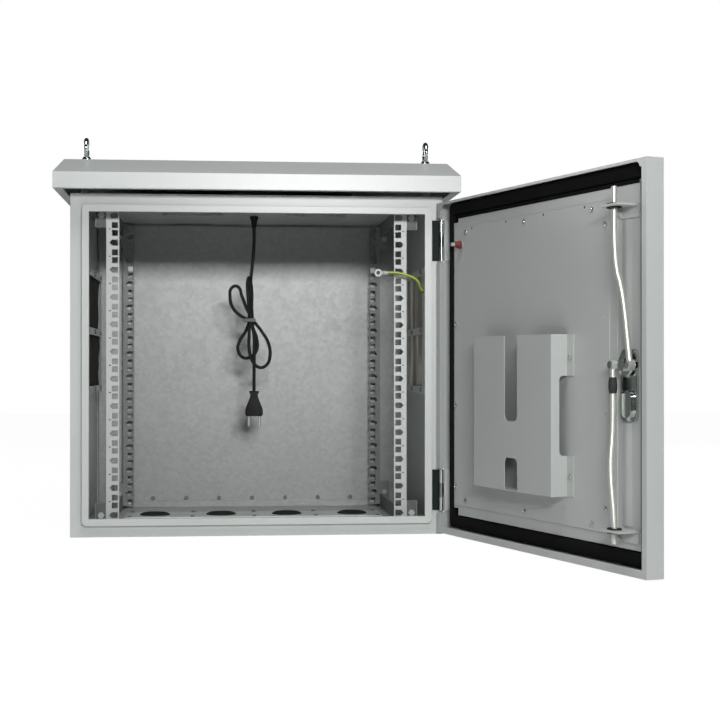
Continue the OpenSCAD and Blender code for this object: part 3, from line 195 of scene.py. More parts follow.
class Finish:
    """A procedural material on Object coordinates."""

    def __init__(self, name):
        self.material = bpy.data.materials.new(name)
        self.material.use_nodes = True
        self.tree = self.material.node_tree
        self.tree.nodes.clear()
        self.shader = self.tree.nodes.new("ShaderNodeBsdfPrincipled")
        output = self.tree.nodes.new("ShaderNodeOutputMaterial")
        self.tree.links.new(self.shader.outputs["BSDF"], output.inputs["Surface"])
        self.place = self.node("ShaderNodeTexCoord", output="Object")

    def node(self, kind, settings=None, sockets=None, output=0):
        """One node: its settings come first, then the values or links of its sockets."""
        made = self.tree.nodes.new(kind)
        for key, value in (settings or {}).items():
            setattr(made, key, value)
        for key, value in (sockets or {}).items():
            self.join(made.inputs[key], value)
        return Wire(self, made.outputs[output])

    def join(self, target, value):
        if isinstance(value, Wire):
            self.tree.links.new(value.socket, target)
        elif isinstance(value, tuple) and target.type == "RGBA":
            target.default_value = (*value, 1)
        else:
            target.default_value = value

    def put(self, **sockets):
        """Sets the shader's sockets; a name's underscores stand for spaces."""
        for key, value in sockets.items():
            self.join(self.shader.inputs[key.replace("_", " ")], value)

    def stretched(self, x, y, z):
        """Object coordinates scaled along each axis."""
        return self.node("ShaderNodeMapping", {}, {"Vector": self.place, "Scale": (x, y, z)})

    def noise(self, scale, detail, place=None):
        return self.node("ShaderNodeTexNoise", {}, {"Vector": place or self.place, "Scale": scale,
                                                    "Detail": detail, "Roughness": 0.55})

    def cells(self, scale):
        """A flat random value for each cell of a Voronoi pattern."""
        colour = self.node("ShaderNodeTexVoronoi", {}, {"Vector": self.place, "Scale": scale}, "Color")
        return self.node("ShaderNodeSeparateColor", {}, {0: colour})

    def axis(self, name):
        """One Object coordinate, in metres."""
        return self.node("ShaderNodeSeparateXYZ", {}, {0: self.place}, name)

    def facing(self, name):
        """One component of the surface's own normal."""
        normal = self.node("ShaderNodeTexCoord", output="Normal")
        return self.node("ShaderNodeSeparateXYZ", {}, {0: normal}, name)

    def blend(self, first, second, share):
        return self.node("ShaderNodeMix", {"data_type": "RGBA"}, {0: share, 6: first, 7: second}, 2)

    def relief(self, height, strength, depth, edge=0.0):
        """A bump of the given depth in metres, on edges rounded to a radius."""
        sockets = {"Height": height, "Strength": strength, "Distance": depth}
        if edge:
            sockets["Normal"] = self.node("ShaderNodeBevel", {"samples": 6}, {"Radius": edge})
        return self.node("ShaderNodeBump", {}, sockets)


def shade(colour, amount):
    return tuple(min(1.0, part * amount) for part in colour)


# Finishes; noise scales are per metre, relief depths and edge radii in metres
ZINC_METAL = 0.35


def powder_coat(name, colour):
    """Light grey powder coat: orange peel, faint clouding and a little dust on faces that look up."""
    f = Finish(name)
    cloud = f.noise(scale=7, detail=4)
    dust = f.facing("Z").between(0.5, 1.0) * f.noise(scale=38, detail=5)
    peel = f.noise(scale=1100, detail=2) + 0.4 * f.noise(scale=260, detail=2)
    coat = f.blend(shade(colour, 0.95), shade(colour, 1.04), cloud)
    f.put(Base_Color=f.blend(coat, shade(colour, 0.86), 0.35 * dust),
          Roughness=0.29 + 0.06 * cloud + 0.12 * dust,
          Normal=f.relief(peel, strength=0.06, depth=0.0004, edge=0.0009), IOR=1.5)
    return f.material


def galvanised_sheet(name, colour, metal=0.8):
    """Zinc-dipped sheet: crystal spangle with a matt bloom."""
    f = Finish(name)
    spangle = f.cells(150)
    fine = f.noise(scale=420, detail=4)
    bloom = f.noise(scale=9, detail=4)
    tone = 0.35 * spangle + 0.45 * fine + 0.20 * bloom
    f.put(Base_Color=f.blend(shade(colour, 0.86), shade(colour, 1.14), tone), Metallic=metal,
          Roughness=0.46 + 0.06 * bloom - 0.02 * spangle,
          Normal=f.relief(fine, strength=0.06, depth=0.0003, edge=0.0006))
    return f.material


def plated(f, colour):
    """Sets fine drawing lines and small stains of zinc plating, and gives its colour."""
    lines = f.noise(scale=500, detail=2, place=f.stretched(1, 1, 0.03))
    stain = f.noise(scale=46, detail=5)
    f.put(Roughness=0.42 + 0.16 * stain, Normal=f.relief(lines, strength=0.06, depth=0.0002, edge=0.0005))
    return f.blend(shade(colour, 0.82), shade(colour, 1.10), 0.5 * lines + 0.5 * stain)


def zinc_plate(name, colour):
    """Bright zinc plating."""
    f = Finish(name)
    f.put(Base_Color=plated(f, colour), Metallic=ZINC_METAL)
    return f.material


def rail_zinc(name, colour, hole_x, side_x, foot):
    """Zinc-plated rail with a dark tick at each rack unit; its ears are painted darker and less metallic, as
    painted shade.
    """
    f = Finish(name)
    x = f.node("ShaderNodeMath", {"operation": "ABSOLUTE"}, {0: f.axis("X")})
    step = f.node("ShaderNodeMath", {"operation": "PINGPONG"}, {0: f.axis("Z") - foot, 1: RACK_UNIT / 2})
    start, end = hole_x + TICK_FROM_HOLE, side_x - TICK_FROM_SIDE
    beside = x.between(start, start + SOFT_EDGE) - x.between(end - SOFT_EDGE, end)
    tick = beside * (1 - step.between(TICK_HALF, TICK_HALF + 1.5 * SOFT_EDGE))
    # painted shade: the ears beyond the rail's side are darkened and made less metallic
    ear = x.between(side_x, side_x + 2.5 * SOFT_EDGE)
    f.put(Base_Color=f.blend(plated(f, colour), shade(colour, 0.15), 0.92 * ear + 0.9 * tick),
          Metallic=ZINC_METAL - 0.3 * ear)
    return f.material


def bright_chrome(name, colour):
    """Polished plating with faint hairlines."""
    f = Finish(name)
    hair = f.noise(scale=900, detail=2, place=f.stretched(1, 1, 0.05))
    haze = f.noise(scale=60, detail=3)
    f.put(Base_Color=f.blend(shade(colour, 0.85), shade(colour, 1.1), haze), Metallic=1.0,
          Roughness=0.10 + 0.10 * hair, Normal=f.relief(hair, strength=0.04, depth=0.0001, edge=0.0006))
    return f.material


def hinge_leaf(name, flat, chrome, shine):
    """A hinge leaf: its flat in one finish, bright where it is rolled round the pin."""
    f = Finish(name)
    x = f.axis("X") - HINGE.x
    y = f.axis("Y") - HINGE.y
    rolled = 1 - ((x * x + y * y) ** 0.5).between(KNUCKLE, KNUCKLE + KNUCKLE_EDGE)
    hair = f.noise(scale=900, detail=2, place=f.stretched(1, 1, 0.05))
    f.put(Base_Color=f.blend(flat, chrome, rolled), Metallic=rolled,
          Roughness=0.40 - 0.25 * rolled + 0.05 * hair,
          Normal=f.relief(hair, strength=0.04, depth=0.0001, edge=0.0006), IOR=shine)
    return f.material


def drawn_steel(name, colour):
    """Bright round bar with drawing lines along its length."""
    f = Finish(name)
    lines = f.noise(scale=1500, detail=2, place=f.stretched(1, 1, 0.02))
    f.put(Base_Color=f.blend(shade(colour, 0.92), shade(colour, 1.06), lines), Metallic=0.7,
          Roughness=0.36 + 0.12 * lines, Normal=f.relief(lines, strength=0.05, depth=0.0001))
    return f.material


def black_rubber(name, colour):
    """Matt rubber with a fine skin and a grey bloom."""
    f = Finish(name)
    skin = f.noise(scale=1400, detail=3)
    bloom = f.noise(scale=30, detail=4)
    f.put(Base_Color=f.blend(colour, shade(colour, 2.2), bloom), Roughness=0.62 + 0.2 * bloom,
          Normal=f.relief(skin, strength=0.25, depth=0.0002, edge=0.0006))
    return f.material


def foam_rubber(name, colour):
    """Closed-cell foam: small pits over a matt black."""
    f = Finish(name)
    pits = f.cells(900)
    bloom = f.noise(scale=24, detail=4)
    f.put(Base_Color=f.blend(colour, shade(colour, 1.9), bloom), Roughness=0.85,
          Normal=f.relief(pits, strength=0.35, depth=0.0004), IOR=1.15)
    return f.material


def moulded_plastic(name, colour):
    """Moulded plastic with an eroded texture."""
    f = Finish(name)
    grain = f.noise(scale=1300, detail=2)
    wear = f.noise(scale=50, detail=4)
    f.put(Base_Color=f.blend(colour, shade(colour, 1.6), wear), Roughness=0.48 + 0.18 * wear,
          Normal=f.relief(grain, strength=0.12, depth=0.0002, edge=0.0005), IOR=1.4)
    return f.material


def fleece(name, clean, soil):
    """Filter fleece: matted fibres with dark upright folds painted in as shade, darker towards the left wall as
    painted shade, and soiled patches.
    """
    f = Finish(name)
    fibre = f.noise(scale=700, detail=4, place=f.stretched(1, 0.35, 1))
    patch = f.noise(scale=22, detail=4)
    # painted shade: the mats on the left wall are darkened
    left = 1 - f.axis("X").between(-0.1, 0.1)
    # share of the dark colour: painted shade on the left plus soiled patches
    soil_and_shade = (0.80 * left + 0.35 * patch).between(0.20, 0.95)
    # painted shade: dark upright bands stand in for shade in the folds
    crease_shade = f.noise(scale=26, detail=2, place=f.stretched(1, 1, 0.12)).between(0.40, 0.60)
    thread = f.blend(shade(clean, 0.4), f.blend(shade(clean, 0.85), shade(clean, 1.1), fibre), crease_shade)
    f.put(Base_Color=f.blend(thread, soil, soil_and_shade), Roughness=0.95,
          Normal=f.relief(fibre, strength=0.5, depth=0.0008))
    return f.material


def earth_sheath(name, green, yellow):
    """Green sheath with a yellow stripe along it."""
    f = Finish(name)
    stripe = (f.facing("Z") + 0.35 * f.facing("Y")).between(-0.40, -0.15)
    f.put(Base_Color=f.blend(green, yellow, stripe), Roughness=0.34 + 0.08 * f.noise(scale=300, detail=2))
    return f.material


FINISHES = {}


def rail_places():
    """Distance of a rail's holes and of its side from the middle, and the height of its first unit."""
    low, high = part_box("rail_front_right")
    height = high[2] - low[2]
    return low[0] + RAIL_HOLE_IN, low[0] + RAIL_WIDTH, low[2] + height % RACK_UNIT / 2


def make_finishes(colours):
    """Makes every finish; most are named after the record slot that they belong to."""
    tone = {name: tuple(getattr(colours, name)) for name in CabinetColours.__annotations__}
    recipes = {
        "body_coat": (powder_coat, tone["paint"]),
        "hood_coat": (powder_coat, tone["paint"]),
        # painted shade: the door's coat is a darker copy of the same body paint
        "door_coat": (powder_coat, shade(tone["paint"], 0.82)),
        "handle_coat": (powder_coat, tone["handle"]),
        "galvanised": (galvanised_sheet, tone["galvanised"]),
        # painted light: the gland plate is a much brighter copy of the galvanised sheet
        "floor_sheet": (galvanised_sheet, shade(tone["galvanised"], 1.6), 0.2),
        # painted shade: the back liner is a darker copy of the galvanised sheet
        "liner_sheet": (galvanised_sheet, shade(tone["galvanised"], 0.64)),
        "zinc": (zinc_plate, tone["zinc"]),
        "rail_zinc": (rail_zinc, tone["zinc"], *rail_places()),
        # painted shade: a darker copy of the zinc for the rear rails, their supports and the panel screws
        "dull_zinc": (zinc_plate, shade(tone["zinc"], 0.5)),
        "white_zinc": (zinc_plate, shade(tone["zinc"], 1.9)),
        "bright_chrome": (bright_chrome, tone["chrome"]),
        # painted shade: the door leaf's knuckle is a darker copy of the chrome
        "door_leaf": (hinge_leaf, tone["paint"], shade(tone["chrome"], 0.45), 1.45),
        # painted reflection: the leaf's flat is dark in place of the dark surroundings it would mirror
        "body_leaf": (hinge_leaf, tone["leaf"], tone["chrome"], 1.12),
        "rod_steel": (drawn_steel, tone["rod"]),
        "black_rubber": (black_rubber, tone["rubber"]),
        "gasket_foam": (foam_rubber, shade(tone["rubber"], 0.5)),
        "black_plastic": (moulded_plastic, tone["plastic"]),
        "cord_sheath": (black_rubber, tone["plastic"]),
        "filter_fleece": (fleece, tone["fleece"], tone["soil"]),
        "earth_sheath": (earth_sheath, tone["wire_green"], tone["wire_yellow"]),
        "tie_plastic": (moulded_plastic, tone["tie"]),
        "cap_plastic": (moulded_plastic, tone["cap"]),
    }
    for name, (maker, *values) in recipes.items():
        FINISHES[name] = maker(name, *values)


# Geometry helpers; lengths in metres
def piece(name, bm, body, slot, *replaced, smooth=35):
    """Turns a bmesh into a finished object that rides on a body."""
    bmesh.ops.recalc_face_normals(bm, faces=bm.faces)
    mesh = bpy.data.meshes.new(name)
    bm.to_mesh(mesh)
    bm.free()
    mesh.polygons.foreach_set("use_smooth", [True] * len(mesh.polygons))
    mesh.set_sharp_from_angle(angle=math.radians(smooth))
    made = bpy.data.objects.new(name, mesh)
    mesh.materials.append(FINISHES[slot])
    bpy.context.scene.collection.objects.link(made)
    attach(made, body)
    if replaced:
        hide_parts(*replaced)
    return made


def islands(node, matrix=None):
    """The separate shells of a CAD node, each as a list of points."""
    bm = bmesh.new()
    bm.from_mesh(NODES[node].data)
    bm.transform(NODES[node].matrix_world)
    if matrix:
        bm.transform(matrix)
    bmesh.ops.remove_doubles(bm, verts=bm.verts, dist=1e-6)
    left = dict.fromkeys(bm.verts)
    shells = []
    while left:
        shell = [next(iter(left))]
        del left[shell[0]]
        for vert in shell:
            for edge in vert.link_edges:
                other = edge.other_vert(vert)
                if other in left:
                    del left[other]
                    shell.append(other)
        shells.append([vert.co.copy() for vert in shell])
    bm.free()
    return shells


def extent(points):
    """Lower and upper corners of a list of points."""
    low = Vector([min(p[axis] for p in points) for axis in range(3)])
    high = Vector([max(p[axis] for p in points) for axis in range(3)])
    return low, high


def door_extent(node):
    """Box of a door node with the door closed."""
    return extent([p for shell in islands(node, DOOR.inverted()) for p in shell])


def only_verts(geom):
    return [item for item in geom if isinstance(item, bmesh.types.BMVert)]


def extrude(bm, faces, by):
    """Pushes faces along a vector; the old faces stay as the far end."""
    bmesh.ops.translate(bm, vec=by, verts=only_verts(bmesh.ops.extrude_face_region(bm, geom=faces)["geom"]))


def round_edges(bm, edges, radius, segments):
    bmesh.ops.bevel(bm, geom=edges, offset=radius, segments=segments, profile=0.5, affect="EDGES",
                    material=-1)


def add_block(bm, low, high, radius):
    """A block between two corners, its edges rounded."""
    low, high = Vector(low), Vector(high)
    made = bmesh.ops.create_cube(bm, size=1)["verts"]
    bmesh.ops.scale(bm, vec=high - low, verts=made)
    bmesh.ops.translate(bm, vec=(low + high) / 2, verts=made)
    round_edges(bm, list(dict.fromkeys(edge for vert in made for edge in vert.link_edges)), radius, 2)


def add_turned(bm, outline, matrix, steps=24):
    """A turned body: pairs of radius and height, spun about Z, closed at its ends, then placed."""
    verts = [bm.verts.new((radius, 0, height)) for radius, height in outline]
    edges = [bm.edges.new(pair) for pair in zip(verts, verts[1:])]
    bmesh.ops.spin(bm, geom=verts + edges, axis=(0, 0, 1), cent=(0, 0, 0), steps=steps, angle=math.tau,
                   use_merge=True)
    found = set(verts)
    ring = list(verts)
    for vert in ring:
        for edge in vert.link_edges:
            other = edge.other_vert(vert)
            if other not in found:
                found.add(other)
                ring.append(other)
    bmesh.ops.remove_doubles(bm, verts=ring, dist=1e-7)
    alive = [vert for vert in ring if vert.is_valid]
    rims = dict.fromkeys(edge for vert in alive for edge in vert.link_edges if edge.is_boundary)
    bmesh.ops.holes_fill(bm, edges=list(rims), sides=0)
    bmesh.ops.transform(bm, matrix=matrix, verts=alive)


def pointing(place, direction):
    """A matrix that stands a turned body at a place along a direction."""
    turn = Vector(direction).to_track_quat("Z", "Y").to_matrix().to_4x4()
    return Matrix.Translation(Vector(place)) @ turn


def lead_curve(name, points, diameter, slot):
    """A round lead as one open curve through its points."""
    curve = bpy.data.curves.new(name, "CURVE")
    curve.dimensions = "3D"
    curve.bevel_depth = diameter / 2
    curve.bevel_resolution = 4
    curve.resolution_u = 12
    curve.use_fill_caps = True
    spline = curve.splines.new("BEZIER")
    spline.bezier_points.add(len(points) - 1)
    for knot, point in zip(spline.bezier_points, points):
        knot.co = point
        knot.handle_left_type = "AUTO"
        knot.handle_right_type = "AUTO"
    made = bpy.data.objects.new(name, curve)
    curve.materials.append(FINISHES[slot])
    bpy.context.scene.collection.objects.link(made)
    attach(made, "cabinet")
    return made


# Power lead, in millimetres: down from the gland, four loops through the tie, then the tail to the plug
LEAD_ROUTE = (
    (0, 80, 526.5), (0, 80, 505), (-2, 81, 470), (-6, 84, 430), (-8, 87, 390), (-8.5, 87, 358),
    (-15, 87, 338), (-27, 86, 318), (-29, 85, 302), (-19, 84, 289), (-5, 83, 291), (5, 82, 304), (5, 81, 324),
    (-2, 80, 345), (-3, 80, 360),
    (-4, 82, 385), (-4, 87, 412), (-6, 86, 427), (-9, 77, 436), (-12, 68, 427), (-12, 66, 410),
    (-10, 70, 385), (-9, 73, 360),
    (-9, 73, 335), (-9, 73, 305), (-3, 73, 283), (10, 72, 271), (23, 71, 276), (29, 70, 293), (26, 69, 315),
    (13, 67.5, 338), (-1, 66.5, 356),
    (-12, 66, 375), (-22, 66, 400), (-31, 66, 419), (-41, 65, 416), (-44, 64, 400), (-39, 62, 380),
    (-26, 60, 366), (-11, 59.5, 357), (-3, 60, 342),
    (0, 62, 320), (0, 69, 290), (0, 77, 258), (0, 80, 240), (0, 80, 228),
)
TIE_BAND = ((-18, 56, 354), (2.5, 92, 361))
TIE_HEAD = ((-22, 57, 355.5), (-17, 64, 359.5))
TIE_ROUND, HEAD_ROUND = 2 * MM, 0.8 * MM
# Right half of the plug's face as X and Z, its front and thickness, and its pins as radius and height
PLUG_OUTLINE = ((9, 228), (9, 225), (6.6, 222), (7, 217), (14.6, 198), (16, 193.5), (16, 185), (14, 182))
PLUG_FRONT, PLUG_THICK, PLUG_ROUND = 72, 16 * MM, 1.6 * MM
PIN_ROOTS = ((-9.5, 80, 182.2), (9.5, 80, 182.2))
PIN_OUTLINE = ((0, 0), (2.4, 0), (2.4, 18), (1.6, 19), (0, 19.2))
PIN_SIDES = 16


def metres(point):
    return Vector(point) * MM


def in_metres(outline):
    return [(radius * MM, height * MM) for radius, height in outline]


class CABINET_OT_power_lead(bpy.types.Operator):
    """Power lead in loose loops, with its tie and its two-pin plug"""
    bl_idname = "cabinet.power_lead"
    bl_label = "Power lead"

    def execute(self, context):
        sizes = context.scene.cabinet_leads
        lead = lead_curve("power_lead", [metres(p) for p in LEAD_ROUTE], sizes.lead_diameter, "cord_sheath")
        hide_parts("power_cord_drop", "cord_hank", "power_cord_tail")

        bm = bmesh.new()
        add_block(bm, *map(metres, TIE_BAND), TIE_ROUND)
        add_block(bm, *map(metres, TIE_HEAD), HEAD_ROUND)
        tie = piece("lead_tie", bm, "cabinet", "tie_plastic", "cord_tie")

        bm = bmesh.new()
        half = [metres((x, PLUG_FRONT, z)) for x, z in PLUG_OUTLINE]
        other = [Vector((-p.x, p.y, p.z)) for p in reversed(half)]
        face = bm.faces.new([bm.verts.new(p) for p in half + other])
        extrude(bm, [face], (0, PLUG_THICK, 0))
        round_edges(bm, bm.edges[:], PLUG_ROUND, 3)
        plug = piece("lead_plug", bm, "cabinet", "black_plastic", "power_plug")

        bm = bmesh.new()
        for root in PIN_ROOTS:
            add_turned(bm, in_metres(PIN_OUTLINE), pointing(metres(root), (0, 0, -1)), PIN_SIDES)
        pins = piece("plug_pins", bm, "cabinet", "rod_steel")
        return {"FINISHED"}


# Earth wire, in millimetres, from its stud to the lug; the lug's barrel and ring as radius and height
WIRE_ROUTE = (
    (279.5, -225, 398), (274.5, -225.5, 396.5), (269.5, -226, 398), (266, -226.5, 402.5), (264, -227, 409),
    (260, -227, 415), (253, -227, 419.5), (243, -227, 423), (231.5, -226, 426), (221.5, -225, 427),
    (213.5, -225, 427),
)
LUG_BARREL = ((1.5, 0), (3.3, 0), (3.6, 0.6), (3.6, 7.4), (3.0, 8.5), (1.5, 8.5))
LUG_RING = ((3.2, -0.8), (6.2, -0.8), (6.5, 0), (6.2, 0.8), (3.2, 0.8), (3.2, -0.8))
RING_OUTER, RING_SIDES = 6.5 * MM, 32
# The lug's neck: its start from the ring's end, its end from the barrel's, half its thickness and width
NECK_FROM, NECK_TO = 12 * MM, 7 * MM
NECK_HALF = Vector((0, 0.8 * MM, 2.6 * MM))
NECK_ROUND = 0.3 * MM


class CABINET_OT_earth_wire(bpy.types.Operator):
    """Green and yellow earth wire that ends in a ring lug"""
    bl_idname = "cabinet.earth_wire"
    bl_label = "Earth wire"

    def execute(self, context):
        sizes = context.scene.cabinet_leads
        wire = lead_curve("earth_lead", [metres(p) for p in WIRE_ROUTE], sizes.wire_diameter, "earth_sheath")
        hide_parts("earth_wire")

        low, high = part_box("earth_lug")
        middle = (Vector(low) + Vector(high)) / 2
        bm = bmesh.new()
        add_turned(bm, in_metres(LUG_BARREL), pointing((high[0], middle.y, middle.z), (-1, 0, 0)))
        eye = (low[0] + RING_OUTER, middle.y, middle.z)
        add_turned(bm, in_metres(LUG_RING), pointing(eye, (0, 1, 0)), RING_SIDES)
        add_block(bm, Vector((low[0] + NECK_FROM, middle.y, middle.z)) - NECK_HALF,
                  Vector((high[0] - NECK_TO, middle.y, middle.z)) + NECK_HALF, NECK_ROUND)
        lug = piece("wire_lug", bm, "cabinet", "zinc", "earth_lug")
        return {"FINISHED"}


class CABINET_OT_filter_mats(bpy.types.Operator):
    """Crumpled fleece mats behind the windows of the filter frames"""
    bl_idname = "cabinet.filter_mats"
    bl_label = "Filter mats"

    GRID = (90, 28)
    # Folds per metre along a mat and up it, and the step in the noise from mat to mat
    COARSE, FINE = Vector((55, 7, 9.7)), Vector((150, 24, 1))
    FINE_SHARE, LEAN = 0.45, 0.25
    # Shares of a mat's thickness
    DEPTH, SWING = 0.30, 0.26

    def execute(self, context):
        bm = bmesh.new()
        for number, shell in enumerate(islands("filter_mats")):
            self.add_mat(bm, extent(shell), number)
        mats = piece("fleece_mats", bm, "cabinet", "filter_fleece", "filter_mats", smooth=70)
        return {"FINISHED"}

    def add_mat(self, bm, box, number):
        """One mat: a folded sheet towards the inside, closed at its back."""
        low, high = box
        side = 1 if low.x > 0 else -1
        inner = low.x if side > 0 else high.x
        thick = high.x - low.x
        across, up = self.GRID
        made = bmesh.ops.create_grid(bm, x_segments=across, y_segments=up, size=0.5)["verts"]
        for vert in made:
            y = low.y + (high.y - low.y) * (vert.co.x + 0.5)
            z = low.z + (high.z - low.z) * (vert.co.y + 0.5)
            spot = Vector((y + self.LEAN * (z - low.z), z, number))
            fold = noise.noise(spot * self.COARSE) + self.FINE_SHARE * noise.noise(spot * self.FINE)
            depth = thick * (self.DEPTH + self.SWING * max(-1, min(1, fold)))
            vert.co = (inner + side * depth, y, z)
        faces = list(dict.fromkeys(face for vert in made for face in vert.link_faces))
        for vert in only_verts(bmesh.ops.extrude_face_region(bm, geom=faces)["geom"]):
            vert.co.x = inner + side * thick


def rounded_loop(bm, box, radius, y, steps=5):
    """A closed ring of edges along a rectangle with round corners, in the plane of the closed door."""
    x0, z0, x1, z1 = box
    centres = ((x1 - radius, z1 - radius, 0), (x0 + radius, z1 - radius, 1), (x0 + radius, z0 + radius, 2),
               (x1 - radius, z0 + radius, 3))
    ring = []
    for x, z, quarter in centres:
        for step in range(steps):
            angle = math.pi / 2 * (quarter + step / (steps - 1))
            ring.append(bm.verts.new((x + radius * math.cos(angle), y, z + radius * math.sin(angle))))
    return [bm.edges.new((ring[i - 1], ring[i])) for i in range(len(ring))]


class CABINET_OT_gasket(bpy.types.Operator):
    """Foam gasket around the inside of the door, narrow at the sides"""
    bl_idname = "cabinet.gasket"
    bl_label = "Door gasket"

    WIDTH = 19 * MM
    # Edges of the free leg and the hinge leg, from the sides of the CAD gasket
    FREE_OUTER, FREE_INNER, HINGE_OUTER = 9.5 * MM, 14.5 * MM, 13 * MM
    OUTER_CORNER, INNER_CORNER, CROWN = 8 * MM, 2 * MM, 3 * MM
    # Strip over the tray's top edge: lower corner and upper corner from the tray's
    STRIP_LOW, STRIP_HIGH = Vector((2, 0, -5)) * MM, Vector((-15, 1.3, 0.4)) * MM
    STRIP_ROUND = 0.4 * MM

    def execute(self, context):
        low, high = door_extent("door_gasket")
        outer = (low.x + self.FREE_OUTER, low.z, high.x - self.HINGE_OUTER, high.z)
        inner = (low.x + self.FREE_INNER, low.z + self.WIDTH, high.x - self.WIDTH, high.z - self.WIDTH)
        bm = bmesh.new()
        edges = rounded_loop(bm, outer, self.OUTER_CORNER, low.y)
        edges += rounded_loop(bm, inner, self.INNER_CORNER, low.y)
        bmesh.ops.bridge_loops(bm, edges=edges)
        extrude(bm, bm.faces[:], (0, high.y - low.y, 0))
        bmesh.ops.recalc_face_normals(bm, faces=bm.faces)
        brink = [e for e in bm.edges if all(v.co.y > high.y - 1e-5 for v in e.verts)
                 and len(e.link_faces) == 2 and e.calc_face_angle(0) > 1]
        round_edges(bm, brink, self.CROWN, 4)
        tray_low, tray_high = door_extent("door_tray")
        add_block(bm, Vector((tray_low.x, tray_high.y, tray_high.z)) + self.STRIP_LOW,
                  tray_high + self.STRIP_HIGH, self.STRIP_ROUND)
        bm.transform(DOOR)
        piece("foam_gasket", bm, "door", "gasket_foam", "door_gasket", smooth=50)
        return {"FINISHED"}


def head_places(node, toward):
    """Top centres and directions of a node's screw heads; toward gives a shell's outward direction."""
    places = []
    for shell in islands(node):
        low, high = extent(shell)
        middle = (low + high) / 2
        out = Vector(toward(middle)).normalized()
        top = max((p - middle).dot(out) for p in shell)
        places.append((middle + out * top, out))
    return places


# A screw head and, as shares of it, its cross recess, its flat top and its side
HEAD_RADIUS, HEAD_HEIGHT, HEAD_SIDES = 4 * MM, 2.2 * MM, 24
CROSS_ARM, CROSS_HALF, CROSS_DEPTH = 0.58, 0.13, 0.45
HEAD_FLAT, HEAD_SHOULDER = 0.8, 0.30


def cross_head(bm, place, out):
    """A pan head with a cross recess, its top at the given place."""
    radius, height = HEAD_RADIUS, HEAD_HEIGHT
    arm, half = radius * CROSS_ARM, radius * CROSS_HALF
    ring = [(arm, half), (half, half), (half, arm), (-half, arm), (-half, half), (-arm, half), (-arm, -half),
            (-half, -half), (-half, -arm), (half, -arm), (half, -half), (arm, -half)]
    matrix = pointing(place, out)
    rim = []
    for i in range(HEAD_SIDES):
        angle = math.tau * i / HEAD_SIDES
        flat = Vector((radius * HEAD_FLAT * math.cos(angle), radius * HEAD_FLAT * math.sin(angle), 0))
        rim.append(bm.verts.new(matrix @ flat))
    cross = [bm.verts.new(matrix @ Vector((x, y, 0))) for x, y in ring]
    rim_edges = [bm.edges.new((rim[i], rim[i - 1])) for i in range(HEAD_SIDES)]
    cross_edges = [bm.edges.new((cross[i], cross[i - 1])) for i in range(len(cross))]
    bmesh.ops.bridge_loops(bm, edges=rim_edges + cross_edges)
    floor = only_verts(bmesh.ops.extrude_edge_only(bm, edges=cross_edges)["geom"])
    bmesh.ops.translate(bm, vec=-height * CROSS_DEPTH * out, verts=floor)
    bm.faces.new(sorted(floor, key=lambda vert: angle_about(matrix, vert)))
    for drop in (HEAD_SHOULDER, 1):
        lower = bmesh.ops.extrude_edge_only(bm, edges=rim_edges)["geom"]
        verts = only_verts(lower)
        rim_edges = [item for item in lower if isinstance(item, bmesh.types.BMEdge)
                     and all(v in verts for v in item.verts)]
        for vert in verts:
            flat = vert.co - place
            flat -= out * flat.dot(out)
            vert.co = place + flat.normalized() * radius - out * height * drop
    bm.faces.new(ordered_ring(rim_edges))


def angle_about(matrix, vert):
    """Angle of a vertex about the Z axis of a matrix."""
    local = matrix.inverted() @ vert.co
    return math.atan2(local.y, local.x)


def ordered_ring(edges):
    """The vertices of a closed ring of edges, in order."""
    follow = {}
    for edge in edges:
        first, second = edge.verts
        follow.setdefault(first, []).append(second)
        follow.setdefault(second, []).append(first)
    start = edges[0].verts[0]
    ring, before = [start], None
    while True:
        nexts = [v for v in follow[ring[-1]] if v is not before]
        before = ring[-1]
        if nexts[0] is start or (len(ring) > 1 and start in nexts):
            break
        ring.append(nexts[0])
    return ring


def inward_of_panel(middle):
    """Direction of a screw's head in the body: off the floor, the side filters or the back liner."""
    near = HEAD_RADIUS
    if middle.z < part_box("gland_plate")[1][2] + near:
        return (0, 0, 1)
    if abs(middle.x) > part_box("filter_frame_right")[0][0] - near:
        return (-math.copysign(1, middle.x), 0, 0)
    return (0, -1, 0)


class CABINET_OT_screws(bpy.types.Operator):
    """Cross-head screws of the body's panels and of the door's inner plate"""
    bl_idname = "cabinet.screws"
    bl_label = "Screws"

    def execute(self, context):
        for name, node, body, slot, toward in (
                # painted shade: the panel screws take the darker copy of the zinc
                ("panel_cross_screws", "panel_screws", "cabinet", "dull_zinc", inward_of_panel),
                ("plate_cross_screws", "plate_screws", "door", "bright_chrome", lambda middle: DOOR_INWARD)):
            bm = bmesh.new()
            for place, out in head_places(node, toward):
                cross_head(bm, place, out)
            piece(name, bm, body, slot, node)
        return {"FINISHED"}


class CABINET_OT_rod_sleeve(bpy.types.Operator):
    """Black sleeve that is pushed over the lower rod, below its eye"""
    bl_idname = "cabinet.rod_sleeve"
    bl_label = "Rod sleeve"

    FOOT_Z, TOP_Z, REACH = 238 * MM, 259 * MM, 30 * MM
    # Radius and height, in millimetres
    OUTLINE = ((4.1, 0), (4.8, 0.6), (5.7, 5), (6.0, 10), (5.7, 15), (4.8, 20.4), (4.1, 21))

    def execute(self, context):
        rod = islands("lower_rod", DOOR.inverted())[0]
        low, high = extent([p for p in rod if self.FOOT_Z - self.REACH < p.z < self.TOP_Z + self.REACH])
        middle = (low + high) / 2
        bm = bmesh.new()
        add_turned(bm, in_metres(self.OUTLINE), Matrix.Translation((middle.x, middle.y, self.FOOT_Z)))
        bm.transform(DOOR)
        piece("rod_sleeve", bm, "lower_rod", "black_rubber")
        return {"FINISHED"}


